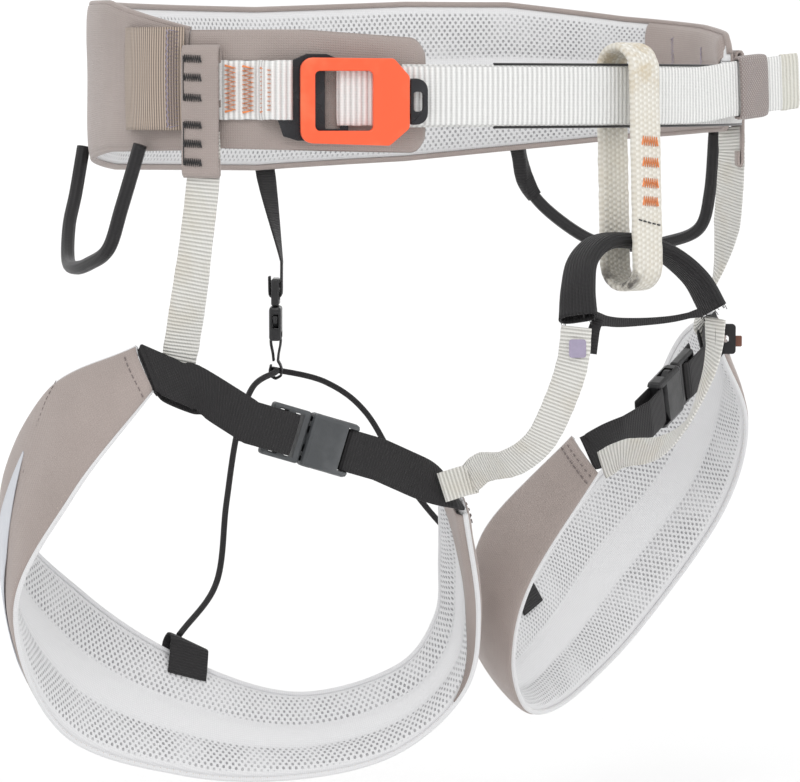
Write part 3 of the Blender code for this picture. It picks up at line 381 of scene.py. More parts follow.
def threadMaterial(name, color):
    made, tree, shader = newMaterial(name, color, 0.5, sheen=0.2)
    tint(tree, shader, noiseOf(tree, 700, 2), tuple(c * 0.9 for c in color), tuple(min(c * 1.1, 1) for c in color))
    bump(tree, shader, noiseOf(tree, 1500, 1), 0.05 * mm)
    return made


finish = {}


def mixFinishes():
    finish["fabric"] = fabricMaterial()
    finish["waistMesh"] = airMeshMaterial("waistAirMesh", ((0.07, 0.36), (0.66, 0.95)))
    finish["legMesh"] = airMeshMaterial("legAirMesh", ((0.07, 0.35), (0.63, 0.93)), 1.0)
    finish["web"] = webMaterial("whiteWebbing", webLook["color"], webLook["groove"], webLook["rib"])
    finish["webDirty"] = webMaterial("agedWebbing", (0.84, 0.83, 0.79), (0.56, 0.55, 0.51), 1.35 * mm, dirt=0.35)
    finish["belay"] = belayMaterial()
    finish["black"] = blackMaterial("blackWebbing", blackLook["rib"])
    finish["sleeveRound"] = blackMaterial("sleeveRibsRound", 0.95 * mm, False, depth=0.35 * mm)
    finish["gear"] = blackMaterial("gearSheath", 1.6 * mm, True, 0.45, 0.12 * mm)
    finish["cord"] = blackMaterial("cordBraid", 0.9 * mm, False, 0.7, 0.12 * mm)
    finish["plastic"] = plasticMaterial("buckleResin", plasticLook["color"], plasticLook["worn"], 0.42)
    # a darker copy of the buckle plastic: painted shade for the buckles on the left side and at the rear drop
    finish["darkPlastic"] = plasticMaterial("darkResin", (0.012, 0.012, 0.013), (0.025, 0.025, 0.027), 0.38)
    finish["orange"] = plasticMaterial("anodisedOrange", orangeLook["color"], orangeLook["worn"], 0.36, 0.25,
                                       0.03 * mm)
    finish["blackMetal"] = plasticMaterial("blackPlate", (0.028, 0.028, 0.031), (0.05, 0.05, 0.055), 0.3, 0.6,
                                           0.03 * mm)
    finish["patch"] = patchMaterial()
    finish["knit"] = knitMaterial()
    finish["orangeThread"] = threadMaterial("orangeThread", (1.0, 0.30, 0.09))
    finish["blackThread"] = threadMaterial("blackThread", (0.018, 0.017, 0.018))
    finish["lilacThread"] = threadMaterial("lilacThread", (0.33, 0.29, 0.40))
    finish["greyThread"] = threadMaterial("greyThread", (0.16, 0.13, 0.125))
    finish["beigeThread"] = threadMaterial("beigeThread", (0.62, 0.52, 0.44))
    finish["reflective"] = plasticMaterial("reflectiveFilm", (0.60, 0.62, 0.66), (0.66, 0.68, 0.72), 0.4, 0.2,
                                           0.1 * mm)
    finish["tailEnd"] = webMaterial("tailHem", (0.80, 0.79, 0.72), (0.56, 0.54, 0.47), 2.6 * mm, 0.6 * mm, 0.3)
    finish["label"] = threadMaterial("brownLabel", (0.16, 0.055, 0.03))


# path and mesh helpers

def unit(vectors):
    vectors = np.asarray(vectors, float)
    return vectors / np.maximum(np.linalg.norm(vectors, axis=-1, keepdims=True), 1e-12)


def tangents(path, wrap=False):
    if wrap:
        return unit(np.roll(path, -1, axis=0) - np.roll(path, 1, axis=0))
    return unit(np.gradient(path, axis=0))


def smoothPath(stations, count):
    # a curve through the stations, in equal steps of length
    stations = np.asarray(stations, float)
    ends = np.vstack([2 * stations[0] - stations[1], stations, 2 * stations[-1] - stations[-2]])
    fine = []
    for i in range(len(stations) - 1):
        a, b, c, d = ends[i:i + 4]
        for t in np.linspace(0, 1, 24, endpoint=False):
            fine.append(0.5 * (2 * b + (c - a) * t + (2 * a - 5 * b + 4 * c - d) * t ** 2
                               + (3 * b - a - 3 * c + d) * t ** 3))
    fine.append(stations[-1])
    fine = np.array(fine)
    run = runOf(fine)
    at = np.linspace(0, run[-1], count)
    return np.stack([np.interp(at, run, fine[:, k]) for k in range(fine.shape[1])], axis=1)


def runOf(path):
    return np.r_[0, np.cumsum(np.linalg.norm(np.diff(path, axis=0), axis=1))]


def sided(points, side):
    return np.asarray(points, float) * np.array([side, 1, 1])


def resample(path, others, step=0.9 * mm):
    # the path and what goes with it in even steps of about that length
    run = runOf(path)
    count = max(int(run[-1] / step), 8)
    at = np.linspace(0, run[-1], count)
    spots = [np.stack([np.interp(at, run, np.asarray(o, float)[:, k]) for k in range(np.shape(o)[1])], axis=1)
             for o in [path] + list(others)]
    return spots


def puff(place, scale):
    # gentle lumps from -1 to 1, the same every time
    return noise.noise(Vector(place) * scale)


def makeObject(name, points, faces, cornerUv, material, shareUv=None):
    mesh = bpy.data.meshes.new(name)
    mesh.from_pydata([tuple(p) for p in points], [], faces)
    layer = mesh.uv_layers.new(name="UVMap")
    layer.data.foreach_set("uv", np.asarray(cornerUv, np.float32).ravel())
    if shareUv is not None:
        second = mesh.uv_layers.new(name="share")
        second.data.foreach_set("uv", np.asarray(shareUv, np.float32).ravel())
    mesh.materials.append(material)
    shape = bmesh.new()
    shape.from_mesh(mesh)
    bmesh.ops.recalc_face_normals(shape, faces=shape.faces)
    for face in shape.faces:
        face.smooth = True
    shape.to_mesh(mesh)
    shape.free()
    obj = bpy.data.objects.new(name, mesh)
    bpy.context.scene.collection.objects.link(obj)
    return obj


def slabObject(name, upper, lower, along, across, material, wrap=False):
    # a closed form between two grids of points, such as a strap or a padded band. along and across are in metres
    rows, columns = upper.shape[:2]
    count = rows * columns
    points = np.vstack([upper.reshape(-1, 3), lower.reshape(-1, 3)])
    faces, flat, share = [], [], []
    total = max(rows - 1, 1)

    def spot(row, column):
        whole = along[row] if row < rows else along[-1] + (along[-1] - along[-2])
        place = row % rows
        wide = across[place][column] if np.ndim(across) == 2 else across[column]
        return (whole, wide), (row / total, column / (columns - 1))

    def addFace(corners, spots):
        faces.append(corners)
        for row, column in spots:
            first, second = spot(row, column)
            flat.append(first)
            share.append(second)

    for row in range(rows if wrap else rows - 1):
        after = (row + 1) % rows
        for c in range(columns - 1):
            a, b = row * columns + c, row * columns + c + 1
            d, e = after * columns + c + 1, after * columns + c
            spots = ((row, c), (row, c + 1), (row + 1, c + 1), (row + 1, c))
            addFace((a, b, d, e), spots)
            addFace((a + count, e + count, d + count, b + count), (spots[0], spots[3], spots[2], spots[1]))
        for c in (0, columns - 1):
            a, e = row * columns + c, after * columns + c
            addFace((a, e, e + count, a + count), ((row, c), (row + 1, c), (row + 1, c), (row, c)))
    if not wrap:
        for row in (0, rows - 1):
            for c in range(columns - 1):
                a, b = row * columns + c, row * columns + c + 1
                addFace((a, b, b + count, a + count), ((row, c), (row, c + 1), (row, c + 1), (row, c)))
    return makeObject(name, points, faces, flat, material, share)


def gridNormals(grid, wrap=False):
    if wrap:
        along = np.roll(grid, -1, axis=0) - np.roll(grid, 1, axis=0)
    else:
        along = np.gradient(grid, axis=0)
    return unit(np.cross(along, np.gradient(grid, axis=1)))


def crossShares(columns, edge=0.05):
    # shares of a width, closer together at both edges
    even = np.linspace(0, 1, columns - 4)
    inner = edge + (1 - 2 * edge) * even
    return np.r_[0, edge * 0.4, inner, 1 - edge * 0.4, 1]


def webbing(name, path, across, width, thickness, material, wrap=False, skewed=False, columns=13,
            widths=None, step=0.9 * mm, soft=0.35, waver=0.0):
    # woven strap along a path, its width along across, edges rounded over
    path = np.asarray(path, float)
    across = np.broadcast_to(np.asarray(across, float), path.shape)
    widths = np.full(len(path), 1.0) if widths is None else np.asarray(widths, float)
    if wrap:
        path = np.vstack([path, path[:1]])
        across = np.vstack([across, across[:1]])
        widths = np.r_[widths, widths[0]]
    path, across, widths = resample(path, (across, widths[:, None]), step)
    if wrap:
        path, across, widths = path[:-1], across[:-1], widths[:-1]
    way = tangents(path, wrap)
    square = across - (across * way).sum(axis=1, keepdims=True) * way
    if skewed:
        across = across / np.linalg.norm(square, axis=1, keepdims=True)
    else:
        across = unit(square)
    shares = crossShares(columns)
    reach = (shares - 0.5) * width
    if waver:
        run = runOf(path)
        edge = np.array([puff((r * 400, 0.3, width * 900), 1.0) for r in run]) * waver
        widths = widths * (1 + 2 * edge[:, None] / width)
    grid = path[:, None, :] + across[:, None, :] * (reach[None, :] * widths)[:, :, None]
    normal = gridNormals(grid, wrap)
    half = thickness / 2 * (1 - (1 - soft) * np.abs(2 * shares - 1) ** 10)
    run = runOf(path)
    return slabObject(name, grid + normal * half[None, :, None], grid - normal * half[None, :, None],
                      run, reach, material, wrap)


def tubeObject(name, runs, diameter, material, sides=8):
    # round threads or cords, one for each run of points
    points, faces, flat = [], [], []
    for run in runs:
        run = np.asarray(run, float)
        way = tangents(run)
        side = np.cross(way[0], (0, 0, 1.0) if abs(way[0][2]) < 0.9 else (1.0, 0, 0))
        side = unit(side)
        start = len(points)
        far = runOf(run)
        for i, place in enumerate(run):
            side = unit(side - (side @ way[i]) * way[i])
            other = np.cross(way[i], side)
            for k in range(sides):
                turn = 2 * math.pi * k / sides
                points.append(place + (side * math.cos(turn) + other * math.sin(turn)) * diameter / 2)
        for i in range(len(run) - 1):
            for k in range(sides):
                after = (k + 1) % sides
                a, b = start + i * sides + k, start + i * sides + after
                faces.append((a, b, b + sides, a + sides))
                girth = math.pi * diameter / sides
                flat += [(far[i], k * girth), (far[i], (k + 1) * girth), (far[i + 1], (k + 1) * girth),
                         (far[i + 1], k * girth)]
        for ring, place in ((0, 0), (len(run) - 1, -1)):
            corners = [start + ring * sides + k for k in range(sides)]
            faces.append(tuple(corners))
            flat += [(far[place], k * mm) for k in range(sides)]
    return makeObject(name, points, faces, flat, material)


def zigzag(spot, start, end, reach, turns):
    # points of a bar of thread between two places on a surface; reach is its sideways swing in u and v
    start, end, side = np.array(start, float), np.array(end, float), np.array(reach, float) / 2
    points = []
    for i in range(turns * 2 + 1):
        middle = start + (end - start) * i / (turns * 2)
        points.append(spot(*(middle + side * (1 if i % 2 else -1))))
    return np.array(points)


def dashes(spot, stations, stitch, gap, lift=0.0):
    # separate stitches along a line of places on a surface
    line = np.array([spot(*s) for s in stations])
    run = runOf(line)
    made = []
    at = gap / 2
    while at + stitch < run[-1]:
        spots = np.linspace(at, at + stitch, 4)
        piece = np.stack([np.interp(spots, run, line[:, k]) for k in range(3)], axis=1)
        made.append(piece)
        at += stitch + gap
    return made


def stand(obj, body, *nodes):
    # puts a finished piece on its body, in place of the plain solids
    if body:
        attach(obj, body)
    if nodes:
        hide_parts(*nodes)
        replacedNodes.update(nodes)
    return obj


# shared shapes of the harness, in metres from the waist centre

waist = {
    "halfWidth": 139 * mm, "halfDepth": 98 * mm,
    "angles": (-28, -12, 14, 40, 60, 90, 130, 170, 195, 217, 237),
    "tops": (21, 25, 29, 35, 35, 32, 32, 31, 21, 21, 18),
    "bottoms": (-15, -16, -19, -24, -28, -31, -29, -21, -20, -21, -22),
    "shellStart": -28.0, "seam": 195.0, "padEnd": 237.0, "tabRight": 198.5, "tabLeft": -22.5, "patch": 187.0,
}
strapSize = {"width": 20.5 * mm, "thickness": 1.0 * mm, "load": 22.5 * mm, "drop": 2 * mm, "free": 80 * mm,
             "layer": 2.6 * mm, "rise": 6 * mm, "web": 12.5 * mm, "webThick": 1.3 * mm}
buckle = {"angle": 225.1, "drop": 4 * mm, "length": 38 * mm, "height": 30.5 * mm, "thickness": 3.2 * mm}
leg = {
    "lower": ((148, -20, -105), (176, -9, -139), (185, 13, -180), (153, 28, -227), (106, 16, -247),
              (66, -3, -251), (33, -22, -243), (12, -37, -220), (13, -46, -190), (34, -61, -149)),
    "upper": ((150, -13, -90), (165, 20, -106), (165, 45, -147), (126, 49, -182), (88, 36, -209),
              (49, 18, -224), (20, -7, -214), (9, -18, -194), (12, -24, -170), (34, -47, -136)),
    "settleLeft": 5, "settleRight": -5, "buckle": (97, -42, -119), "buckleLeft": 3.5, "buckleRight": -4.5,
    "alongLeft": (-112, -36, -45), "alongRight": (-112, -36, -36), "belly": 2.0 * mm,
    "strap": 15.2 * mm, "strapThick": 1.1 * mm,
}


def waistNormal(degrees):
    angle = math.radians(degrees)
    flat = unit((waist["halfDepth"] * math.cos(angle), waist["halfWidth"] * math.sin(angle)))
    return np.array([flat[0], flat[1], 0.0])


def waistPoint(degrees, z, offset):
    angle = math.radians(degrees)
    normal = waistNormal(degrees)
    return np.array([waist["halfWidth"] * math.cos(angle) + normal[0] * offset,
                     waist["halfDepth"] * math.sin(angle) + normal[1] * offset, z])


def waistFrame(degrees, offset, z=0.0):
    normal = waistNormal(degrees)
    along = np.array([-normal[1], normal[0], 0.0])
    place = waistPoint(degrees, z, offset)
    made = Matrix.Identity(4)
    for row in range(3):
        made[row][0] = along[row]
        made[row][1] = -normal[row]
        made[row][2] = 1.0 if row == 2 else 0.0
        made[row][3] = place[row]
    return made


def beltHeight(degrees):
    top = np.interp(degrees, waist["angles"], waist["tops"]) * mm
    bottom = np.interp(degrees, waist["angles"], waist["bottoms"]) * mm
    return bottom, top


def legRails(side, count=180):
    settle = leg["settleLeft"] if side > 0 else leg["settleRight"]
    share = np.minimum(np.arange(len(leg["lower"])) / 3.0, 1.0)
    drop = np.stack([0 * share, 0 * share, settle * share], axis=1)
    lower = smoothPath(sided((np.array(leg["lower"]) + drop) * mm, side), count)
    upper = smoothPath(sided((np.array(leg["upper"]) + drop) * mm, side), count)
    return lower, upper


def legBuckleCentre(side):
    lift = leg["buckleLeft"] if side > 0 else leg["buckleRight"]
    return sided(np.array(leg["buckle"]) * mm, side) + np.array([0, 0, lift * mm])


def legBuckleAxes(side):
    along = unit(sided(leg["alongLeft"] if side > 0 else leg["alongRight"], side))
    across = sided((-0.2, -0.12, 0.97), side)
    across = unit(across - (across @ along) * along)
    out = np.cross(along, across)
    if out[1] > 0:
        out = -out
    return along, out, np.cross(out, along)


def legOuterFrame(side):
    lower, upper = legRails(side, 44)
    across = unit(upper[0] - lower[0])
    _, out, _ = legBuckleAxes(side)
    forward = unit(legBuckleCentre(side) - (lower[0] + upper[0]) / 2)
    normal = unit(np.cross(forward, across))
    if normal @ out < 0:
        normal = -normal
    return (lower[0] + upper[0]) / 2, forward, across, normal


def axesMatrix(centre, along, out, across):
    made = Matrix.Identity(4)
    for row in range(3):
        made[row][0] = along[row]
        made[row][1] = out[row]
        made[row][2] = across[row]
        made[row][3] = centre[row]
    return made


def localPath(matrix, points):
    return np.array([tuple(matrix @ Vector((x * mm, y * mm, 0))) for x, y in points])


# riser cords

riser = {"diameter": 2.4 * mm, "tab": (88, 36, -208), "tabWidth": 16 * mm,
         "rise": 3.5 * mm,
         "left": ((19.4, -8.4, -5), (33, -18, -18), (46, -28, -46), (62, -41, -70)),
         "right": ((20, -9, -5), (34, -16, -22), (48, -26, -48), (64, -39, -76))}
drop = {"centre": (5, 91.5, -86), "scale": 0.72, "out": (0.731, -0.682, 0.0)}


def legEdgeFrame(side):
    # a place on the leg band's upper rear edge, with the ways into the band, along it and outwards
    lower, upper = legRails(side, 44)
    middle = sided(np.array(riser["tab"]) * mm, side)
    i = int(np.argmin(np.linalg.norm(upper - middle, axis=1)))
    parts = np.linspace(0, 1, 6)
    grid = lower[:, None] * (1 - parts)[None, :, None] + upper[:, None] * parts[None, :, None]
    normal = unit(np.cross(np.gradient(grid, axis=0), np.gradient(grid, axis=1))) * side
    grid = grid + normal * (4 * parts * (1 - parts) * leg["belly"])[None, :, None]
    edge = grid[i, -1]
    inward = unit(grid[i, -2] - edge)
    along = unit(grid[i + 1, -1] - grid[i - 1, -1])
    return edge, inward, along, unit(np.cross(along, inward)) * side


def dropMatrix():
    along = np.array([0.0, 0.0, -1.0])
    out = unit(np.array(drop["out"]))
    made = axesMatrix(np.array(drop["centre"]) * mm, along, out, np.cross(out, along))
    return made @ Matrix.Scale(drop["scale"], 4), along, out, np.cross(out, along)


def makeRiserCords():
    sized, _, _, _ = dropMatrix()
    hook = localPath(sized, ((36.9, 0.0),))[0]
    through = unit(np.array([0.682, 0.731, 0.0]))
    for side, name in bothSides:
        path = [hook + through * side * 0.2 * mm, hook + through * side * 6.0 * mm]
        path += [hook + sided(np.array(place) * mm, side) for place in riser[name]]
        edge, inward, along, _ = legEdgeFrame(side)
        path.append(edge - inward * (riser["rise"] + 5.4 * mm) - along * 3.0 * mm)
        path = smoothPath(path, 90)
        cord = tubeObject("riserCord_" + name, [path], riser["diameter"], finish["cord"], 12)
        tuple(path[0])
        tuple(path[-1])
        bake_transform(cord)
        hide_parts("riser_cord_" + name)
        length = float(runOf(path)[-1])
        tuple(path[0])
        [tuple(p) for p in path]
    print("riser cords made")


# waist belt

beltLook = {"shellOut": 1.75 * mm, "shellIn": 0.35 * mm, "liningIn": -2.1 * mm, "liningPuff": 1.5 * mm,
            "bands": (0.0, 0.36, 0.66, 1.0), "wrinkle": 0.35 * mm}


def beltGrid(start, end, rows, columns, roundStart=False, roundEnd=False, inset=0.0, squareEnd=False):
    # places on the belt's middle surface with their outward ways; ends rounded where asked
    degrees = np.linspace(start, end, rows)
    shares = crossShares(columns, 0.04)
    grid = np.zeros((rows, columns, 3))
    outward = np.zeros((rows, columns, 3))
    roundDegrees = 4.5
    for i, a in enumerate(degrees):
        bottom, top = beltHeight(a)
        bottom, top = bottom + inset, top - inset
        middle, half = (bottom + top) / 2, (top - bottom) / 2
        shrink = 1.0
        fromStart, fromEnd = abs(a - start), abs(a - end)
        if roundStart and fromStart < roundDegrees:
            shrink = 1 - 0.42 * (1 - fromStart / roundDegrees) ** 2.4
        if roundEnd and fromEnd < roundDegrees:
            shrink = 1 - 0.42 * (1 - fromEnd / roundDegrees) ** 2.4 if not squareEnd else shrink
        if squareEnd and fromEnd < 2.5:
            shrink = 1 - 0.22 * (1 - fromEnd / 2.5) ** 2.4
        for j, s in enumerate(shares):
            grid[i, j] = waistPoint(a, middle + half * shrink * (1 - 2 * s), 0.0)
            outward[i, j] = waistNormal(a)
    return grid, outward, shares


def edgeFall(shares, power=8):
    return (1 - np.abs(2 * shares - 1) ** power) ** 0.5


def bandPuff(shares, borders, power=3.0):
    # 1 in the middle of each band of a width, 0 at its seams
    made = np.zeros(len(shares))
    for low, high in zip(borders[:-1], borders[1:]):
        inside = (shares >= low) & (shares <= high)
        part = np.clip((shares[inside] - low) / (high - low), 0, 1)
        made[inside] = 1 - np.abs(2 * part - 1) ** power
    return made


def makeBelt():
    grid, out, shares = beltGrid(waist["shellStart"], waist["seam"] - 0.15, 240, 30, roundStart=True)
    run = runOf(grid[:, 15])
    across = (shares - 0.5) * 60 * mm
    lumps = np.array([[puff(p, 45) for p in row] for row in grid]) * beltLook["wrinkle"]
    outer = grid + out * ((beltLook["shellOut"] - beltLook["shellIn"]) * edgeFall(shares)[None, :, None]
                          + beltLook["shellIn"] + np.minimum(lumps, 0.1 * mm)[:, :, None] * edgeFall(shares)[None, :, None])
    inner = grid + out * (beltLook["shellIn"] - 0.15 * mm)
    shell = slabObject("waistShell", outer, inner, run, -across, finish["fabric"])
    stand(shell, "belt", "waist_shell")

    grid, out, shares = beltGrid(waist["shellStart"], waist["seam"] - 0.15, 240, 34, roundStart=True, inset=0.8 * mm)
    swell = bandPuff(shares, beltLook["bands"])
    lumps = np.array([[puff(p, 60) for p in row] for row in grid]) * 0.3 * mm
    depth = beltLook["liningIn"] * edgeFall(shares, 10) - beltLook["liningPuff"] * swell
    inner = grid + out * (depth[None, :, None] + lumps[:, :, None] * swell[None, :, None])
    outer = grid + out * 0.15 * mm
    lining = slabObject("waistLining", outer, inner, run, -(shares - 0.5) * 60 * mm, finish["waistMesh"])
    stand(lining, "belt", "waist_lining")

    grid, out, shares = beltGrid(waist["seam"] + 0.15, waist["padEnd"], 90, 26, squareEnd=True)
    run = runOf(grid[:, 13])
    lumps = np.array([[puff(p, 55) for p in row] for row in grid]) * 0.3 * mm
    rise = 1.75 * mm * edgeFall(shares, 6)
    outer = grid + out * (rise[None, :, None] + np.minimum(lumps, 0.05 * mm)[:, :, None])
    inner = grid - out * (rise * 0.95 + 0.5 * mm * bandPuff(shares, (0, 1)))[None, :, None]
    pad = slabObject("frontPad", outer, inner, run, -(shares - 0.5) * 42 * mm, finish["fabric"])
    stand(pad, "belt", "front_pad_right")
    print("belt made")


def makeBeltTrim():
    # piping round the shell, and the grey panel inside the left end
    edges = []
    for top in (True, False):
        run = []
        for a in np.linspace(waist["shellStart"] + 0.2, waist["seam"] - 0.3, 260):
            bottom, upper = beltHeight(a)
            middle, half = (bottom + upper) / 2, (upper - bottom) / 2
            near = abs(a - waist["shellStart"])
            shrink = 1 - 0.42 * (1 - near / 4.5) ** 2.4 if near < 4.5 else 1.0
            run.append(waistPoint(a, middle + half * shrink * (1 if top else -1), -0.3 * mm))
        edges.append(run)
    piping = tubeObject("beltPiping", edges, 2.2 * mm, finish["fabric"], 10)
    stand(piping, "belt")

    start, end = waist["shellStart"] + 0.3, 6.5
    grid, out, shares = beltGrid(start, end, 70, 22, roundStart=True, inset=0.5 * mm)
    swell = bandPuff(shares, beltLook["bands"])
    depth = beltLook["liningIn"] * edgeFall(shares, 10) - beltLook["liningPuff"] * swell - 0.25 * mm
    lumps = np.array([[puff(p, 50) for p in row] for row in grid]) * 0.3 * mm
    inner = grid + out * (depth[None, :, None] - 1.0 * mm + lumps[:, :, None])
    run = runOf(grid[:, 11])
    panel = slabObject("innerEndPanel", inner + out * 0.5 * mm, inner, run, -(shares - 0.5) * 44 * mm,
                       finish["fabric"])
    stand(panel, "belt")

    def insideSpot(degrees, z):
        return waistPoint(degrees, z, -4.9 * mm)

    seams = [zigzag(insideSpot, (-3.6, -14 * mm), (-2.6, 21 * mm), (0.85, 0), 26),
             zigzag(insideSpot, (-15.8, -9 * mm), (-15.2, 17 * mm), (0.5, 0), 14)]
    stand(tubeObject("innerSeams", seams, 0.35 * mm, finish["lilacThread"], 6), "belt")
    rim = dashes(lambda a, z: waistPoint(a, z, -4.6 * mm),
                 [(-26.6, z * mm) for z in np.linspace(-8, 12, 12)], 1.8 * mm, 1.1 * mm)
    stand(tubeObject("endStitches", rim, 0.4 * mm, finish["greyThread"], 6), "belt")


patchSize = {"half": 7.6, "top": 22 * mm, "bottom": -14 * mm, "bulge": 3.0 * mm}


def patchPlace(centre, part, z):
    offset = 2.6 * mm + patchSize["bulge"] * (1 - part ** 2) + 0.3 * mm
    bow = math.sin((z - patchSize["bottom"]) / (patchSize["top"] - patchSize["bottom"]) * math.pi)
    return waistPoint(centre + part * patchSize["half"], z, offset + 0.5 * mm * bow)


def makePatches():
    for side, name in bothSides:
        centre = waist["patch"] if side < 0 else 180 - waist["patch"]
        parts = np.linspace(-1, 1, 40)
        heights = np.linspace(patchSize["top"], patchSize["bottom"], 24)
        grid = np.array([[patchPlace(centre, p, z) for z in heights] for p in parts])
        normal = gridNormals(grid) * -1
        if (normal[20, 12] @ waistNormal(centre)) < 0:
            normal = -normal
        run = runOf(grid[:, 12])
        upper, lower = grid + normal * 0.45 * mm, grid - normal * 0.45 * mm
        patch = slabObject("clipperPatch_" + name, upper, lower, run, heights, finish["patch"])
        stand(patch, "belt", "clipper_patch_" + name)

        flip = 1 if side < 0 else -1

        def spot(part, z):
            return patchPlace(centre, part * flip, z) + waistNormal(centre) * 0.7 * mm

        low, high = patchSize["bottom"] + 1.0 * mm, patchSize["top"] - 1.0 * mm
        seams = [zigzag(spot, (0.76, low), (0.76, high), (0.24, 0), 26),
                 zigzag(spot, (0.60, low), (0.60, high), (0.05, 0), 16)]
        stand(tubeObject("patchSeam_" + name, seams, 0.38 * mm, finish["lilacThread"], 6), "belt")
    print("patches made")


tab = {"half": 3.6, "top": 15 * mm, "bottom": -30 * mm, "offset": 5.95 * mm, "thickness": 1.4 * mm,
       "tacks": (11, 4.5, -2.5, -12, -18.5, -25)}


def makeTabs():
    for side, name in bothSides:
        centre = waist["tabRight"] if side < 0 else waist["tabLeft"]
        flip = 1 if side < 0 else -1
        across = np.linspace(-1, 1, 22)
        # a strip that comes up from behind, rolls over the top, hangs down and folds under again
        profile = [(3.0, -6), (2.6, 4), (2.7, 11), (3.4, 14.2), (4.7, 15.3), (5.8, 14.3), (6.15, 11), (6.2, 0),
                   (6.1, -14), (6.05, -26), (5.9, -28.9), (5.2, -30.0), (4.5, -29.2), (4.4, -24)]
        offsets = [p[0] for p in profile]
        line = smoothPath(np.array([(o, 0, z) for o, z in profile]) * mm, 70)
        grid = np.zeros((70, 22, 3))
        for i, (offset, _, z) in enumerate(line):
            for j, s in enumerate(across):
                lean = 0.25 * mm * puff((s * 1.7, z * 160, side), 1.0)
                grid[i, j] = waistPoint(centre + s * tab["half"] * flip, z, offset + lean)
        normal = gridNormals(grid)
        run = runOf(grid[:, 11])
        reach = across * 8.0 * mm
        half = 0.55 * mm
        made = slabObject("tieTab_" + name, grid + normal * half, grid - normal * half, run, reach, finish["fabric"])
        stand(made, "belt", "tie_tab_" + name)

        def spot(part, z):
            return waistPoint(centre + part * tab["half"] * flip, z, 7.0 * mm)

        bars = []
        for z in tab["tacks"]:
            bars.append(zigzag(spot, (-0.82, z * mm), (0.12, z * mm - 0.3 * mm), (0, 2.2 * mm), 9))
        joined = [spot(-0.86, z * mm) for z in np.linspace(tab["tacks"][0] + 1, tab["tacks"][2] - 1, 30)]
        lower = [spot(-0.86, z * mm) for z in np.linspace(tab["tacks"][3] + 1, tab["tacks"][5] - 1, 30)]
        stand(tubeObject("tabTacks_" + name, bars, 0.75 * mm, finish["blackThread"], 8), "belt")
        stand(tubeObject("tabThread_" + name, [joined, lower], 0.4 * mm, finish["blackThread"], 6), "belt")
    print("tabs made")


# waist strap and buckle

def waistRibbon(name, angles, offsets, width, thickness, material, height, node, **more):
    path = np.array([waistPoint(a, height, o) for a, o in zip(angles, offsets)])
    made = webbing(name, path, (0, 0, 1), width, thickness, material, **more)
    return stand(made, "belt", node)


def makeStraps():
    webOffset = 1.8 * mm + 0.3 * mm + strapSize["webThick"] / 2
    angles = np.linspace(196.2, 215.2, 60)
    offsets = []
    for angle in angles:
        over, past = overPlate(angle, 0.3 * mm + strapSize["webThick"] / 2)
        share = min(max((past + strapSize["rise"]) / (strapSize["rise"] * 0.8), 0.0), 1.0)
        offsets.append(webOffset + (over - webOffset) * share * share * (3 - 2 * share))
    waistRibbon("shortWebbing", angles, offsets, strapSize["width"], strapSize["webThick"],
                finish["web"], 0.0, "buckle_web_short", waver=0.25 * mm)
    makeShortTacks(angles, offsets)
    angles = np.linspace(waist["tabLeft"] + 3.2, -127.0, 160)
    waistRibbon("loadStrap", angles, np.full(160, strapSize["layer"]), strapSize["load"] - 0.6 * mm,
                strapSize["thickness"], finish["web"], -strapSize["drop"], "waist_strap_load")
    edge = []
    for s in (1, -1):
        edge.append([waistPoint(a, -strapSize["drop"] + s * (strapSize["load"] / 2 - 0.2 * mm), strapSize["layer"])
                     for a in np.linspace(-16, -112, 160)])
    stand(tubeObject("strapEdging", edge, 1.0 * mm, finish["blackThread"], 8), "belt")

    tailLayer = 5.9 * mm
    radius = 0.5 * mm + 0.4 * mm + strapSize["thickness"] / 2
    turns = [math.radians(a) for a in (-80, -55, -30, 0, 30, 55, 80)]
    turnPath = [(4.5 * mm, -radius)] + [(2.3 * mm - radius * math.cos(a), radius * math.sin(a)) for a in turns]
    path = []
    for x, out in turnPath:
        there = plateMatrix() @ Matrix.Translation((x, -out, buckle["drop"] - strapSize["drop"]))
        path.append(np.array(there.translation))
    path += [waistPoint(a, -strapSize["drop"], tailLayer) for a in np.linspace(buckle["angle"] + 0.8, 285.0, 40)]
    leave = path[-1]
    along = unit(path[-1] - path[-2])
    rise = np.array([0.0, 0.0, 0.07])
    for run in np.linspace(4 * mm, strapSize["free"], 24):
        path.append(leave + along * run + rise * run * min(run / (30 * mm), 1.0))
    tail = webbing("strapTail", np.array(path), (0, 0, 1), strapSize["width"], strapSize["thickness"], finish["web"],
                   waver=0.12 * mm)
    stand(tail, "belt", "waist_strap_tail")

    # the end of the tail is folded twice and sewn
    end = path[-1]
    way = unit(along + rise)
    fold = np.array([end - way * a * mm for a in (11.0, 9.0, 6.0, 3.0, 0.0)])
    hem = webbing("tailHem", fold, (0, 0, 1), strapSize["width"] + 0.7 * mm, 2.6 * mm, finish["tailEnd"],
                  step=0.5 * mm, soft=0.5, waver=0.3 * mm)
    stand(hem, "belt")
    makeKeeper(leave, way)
    print("waist strap made")


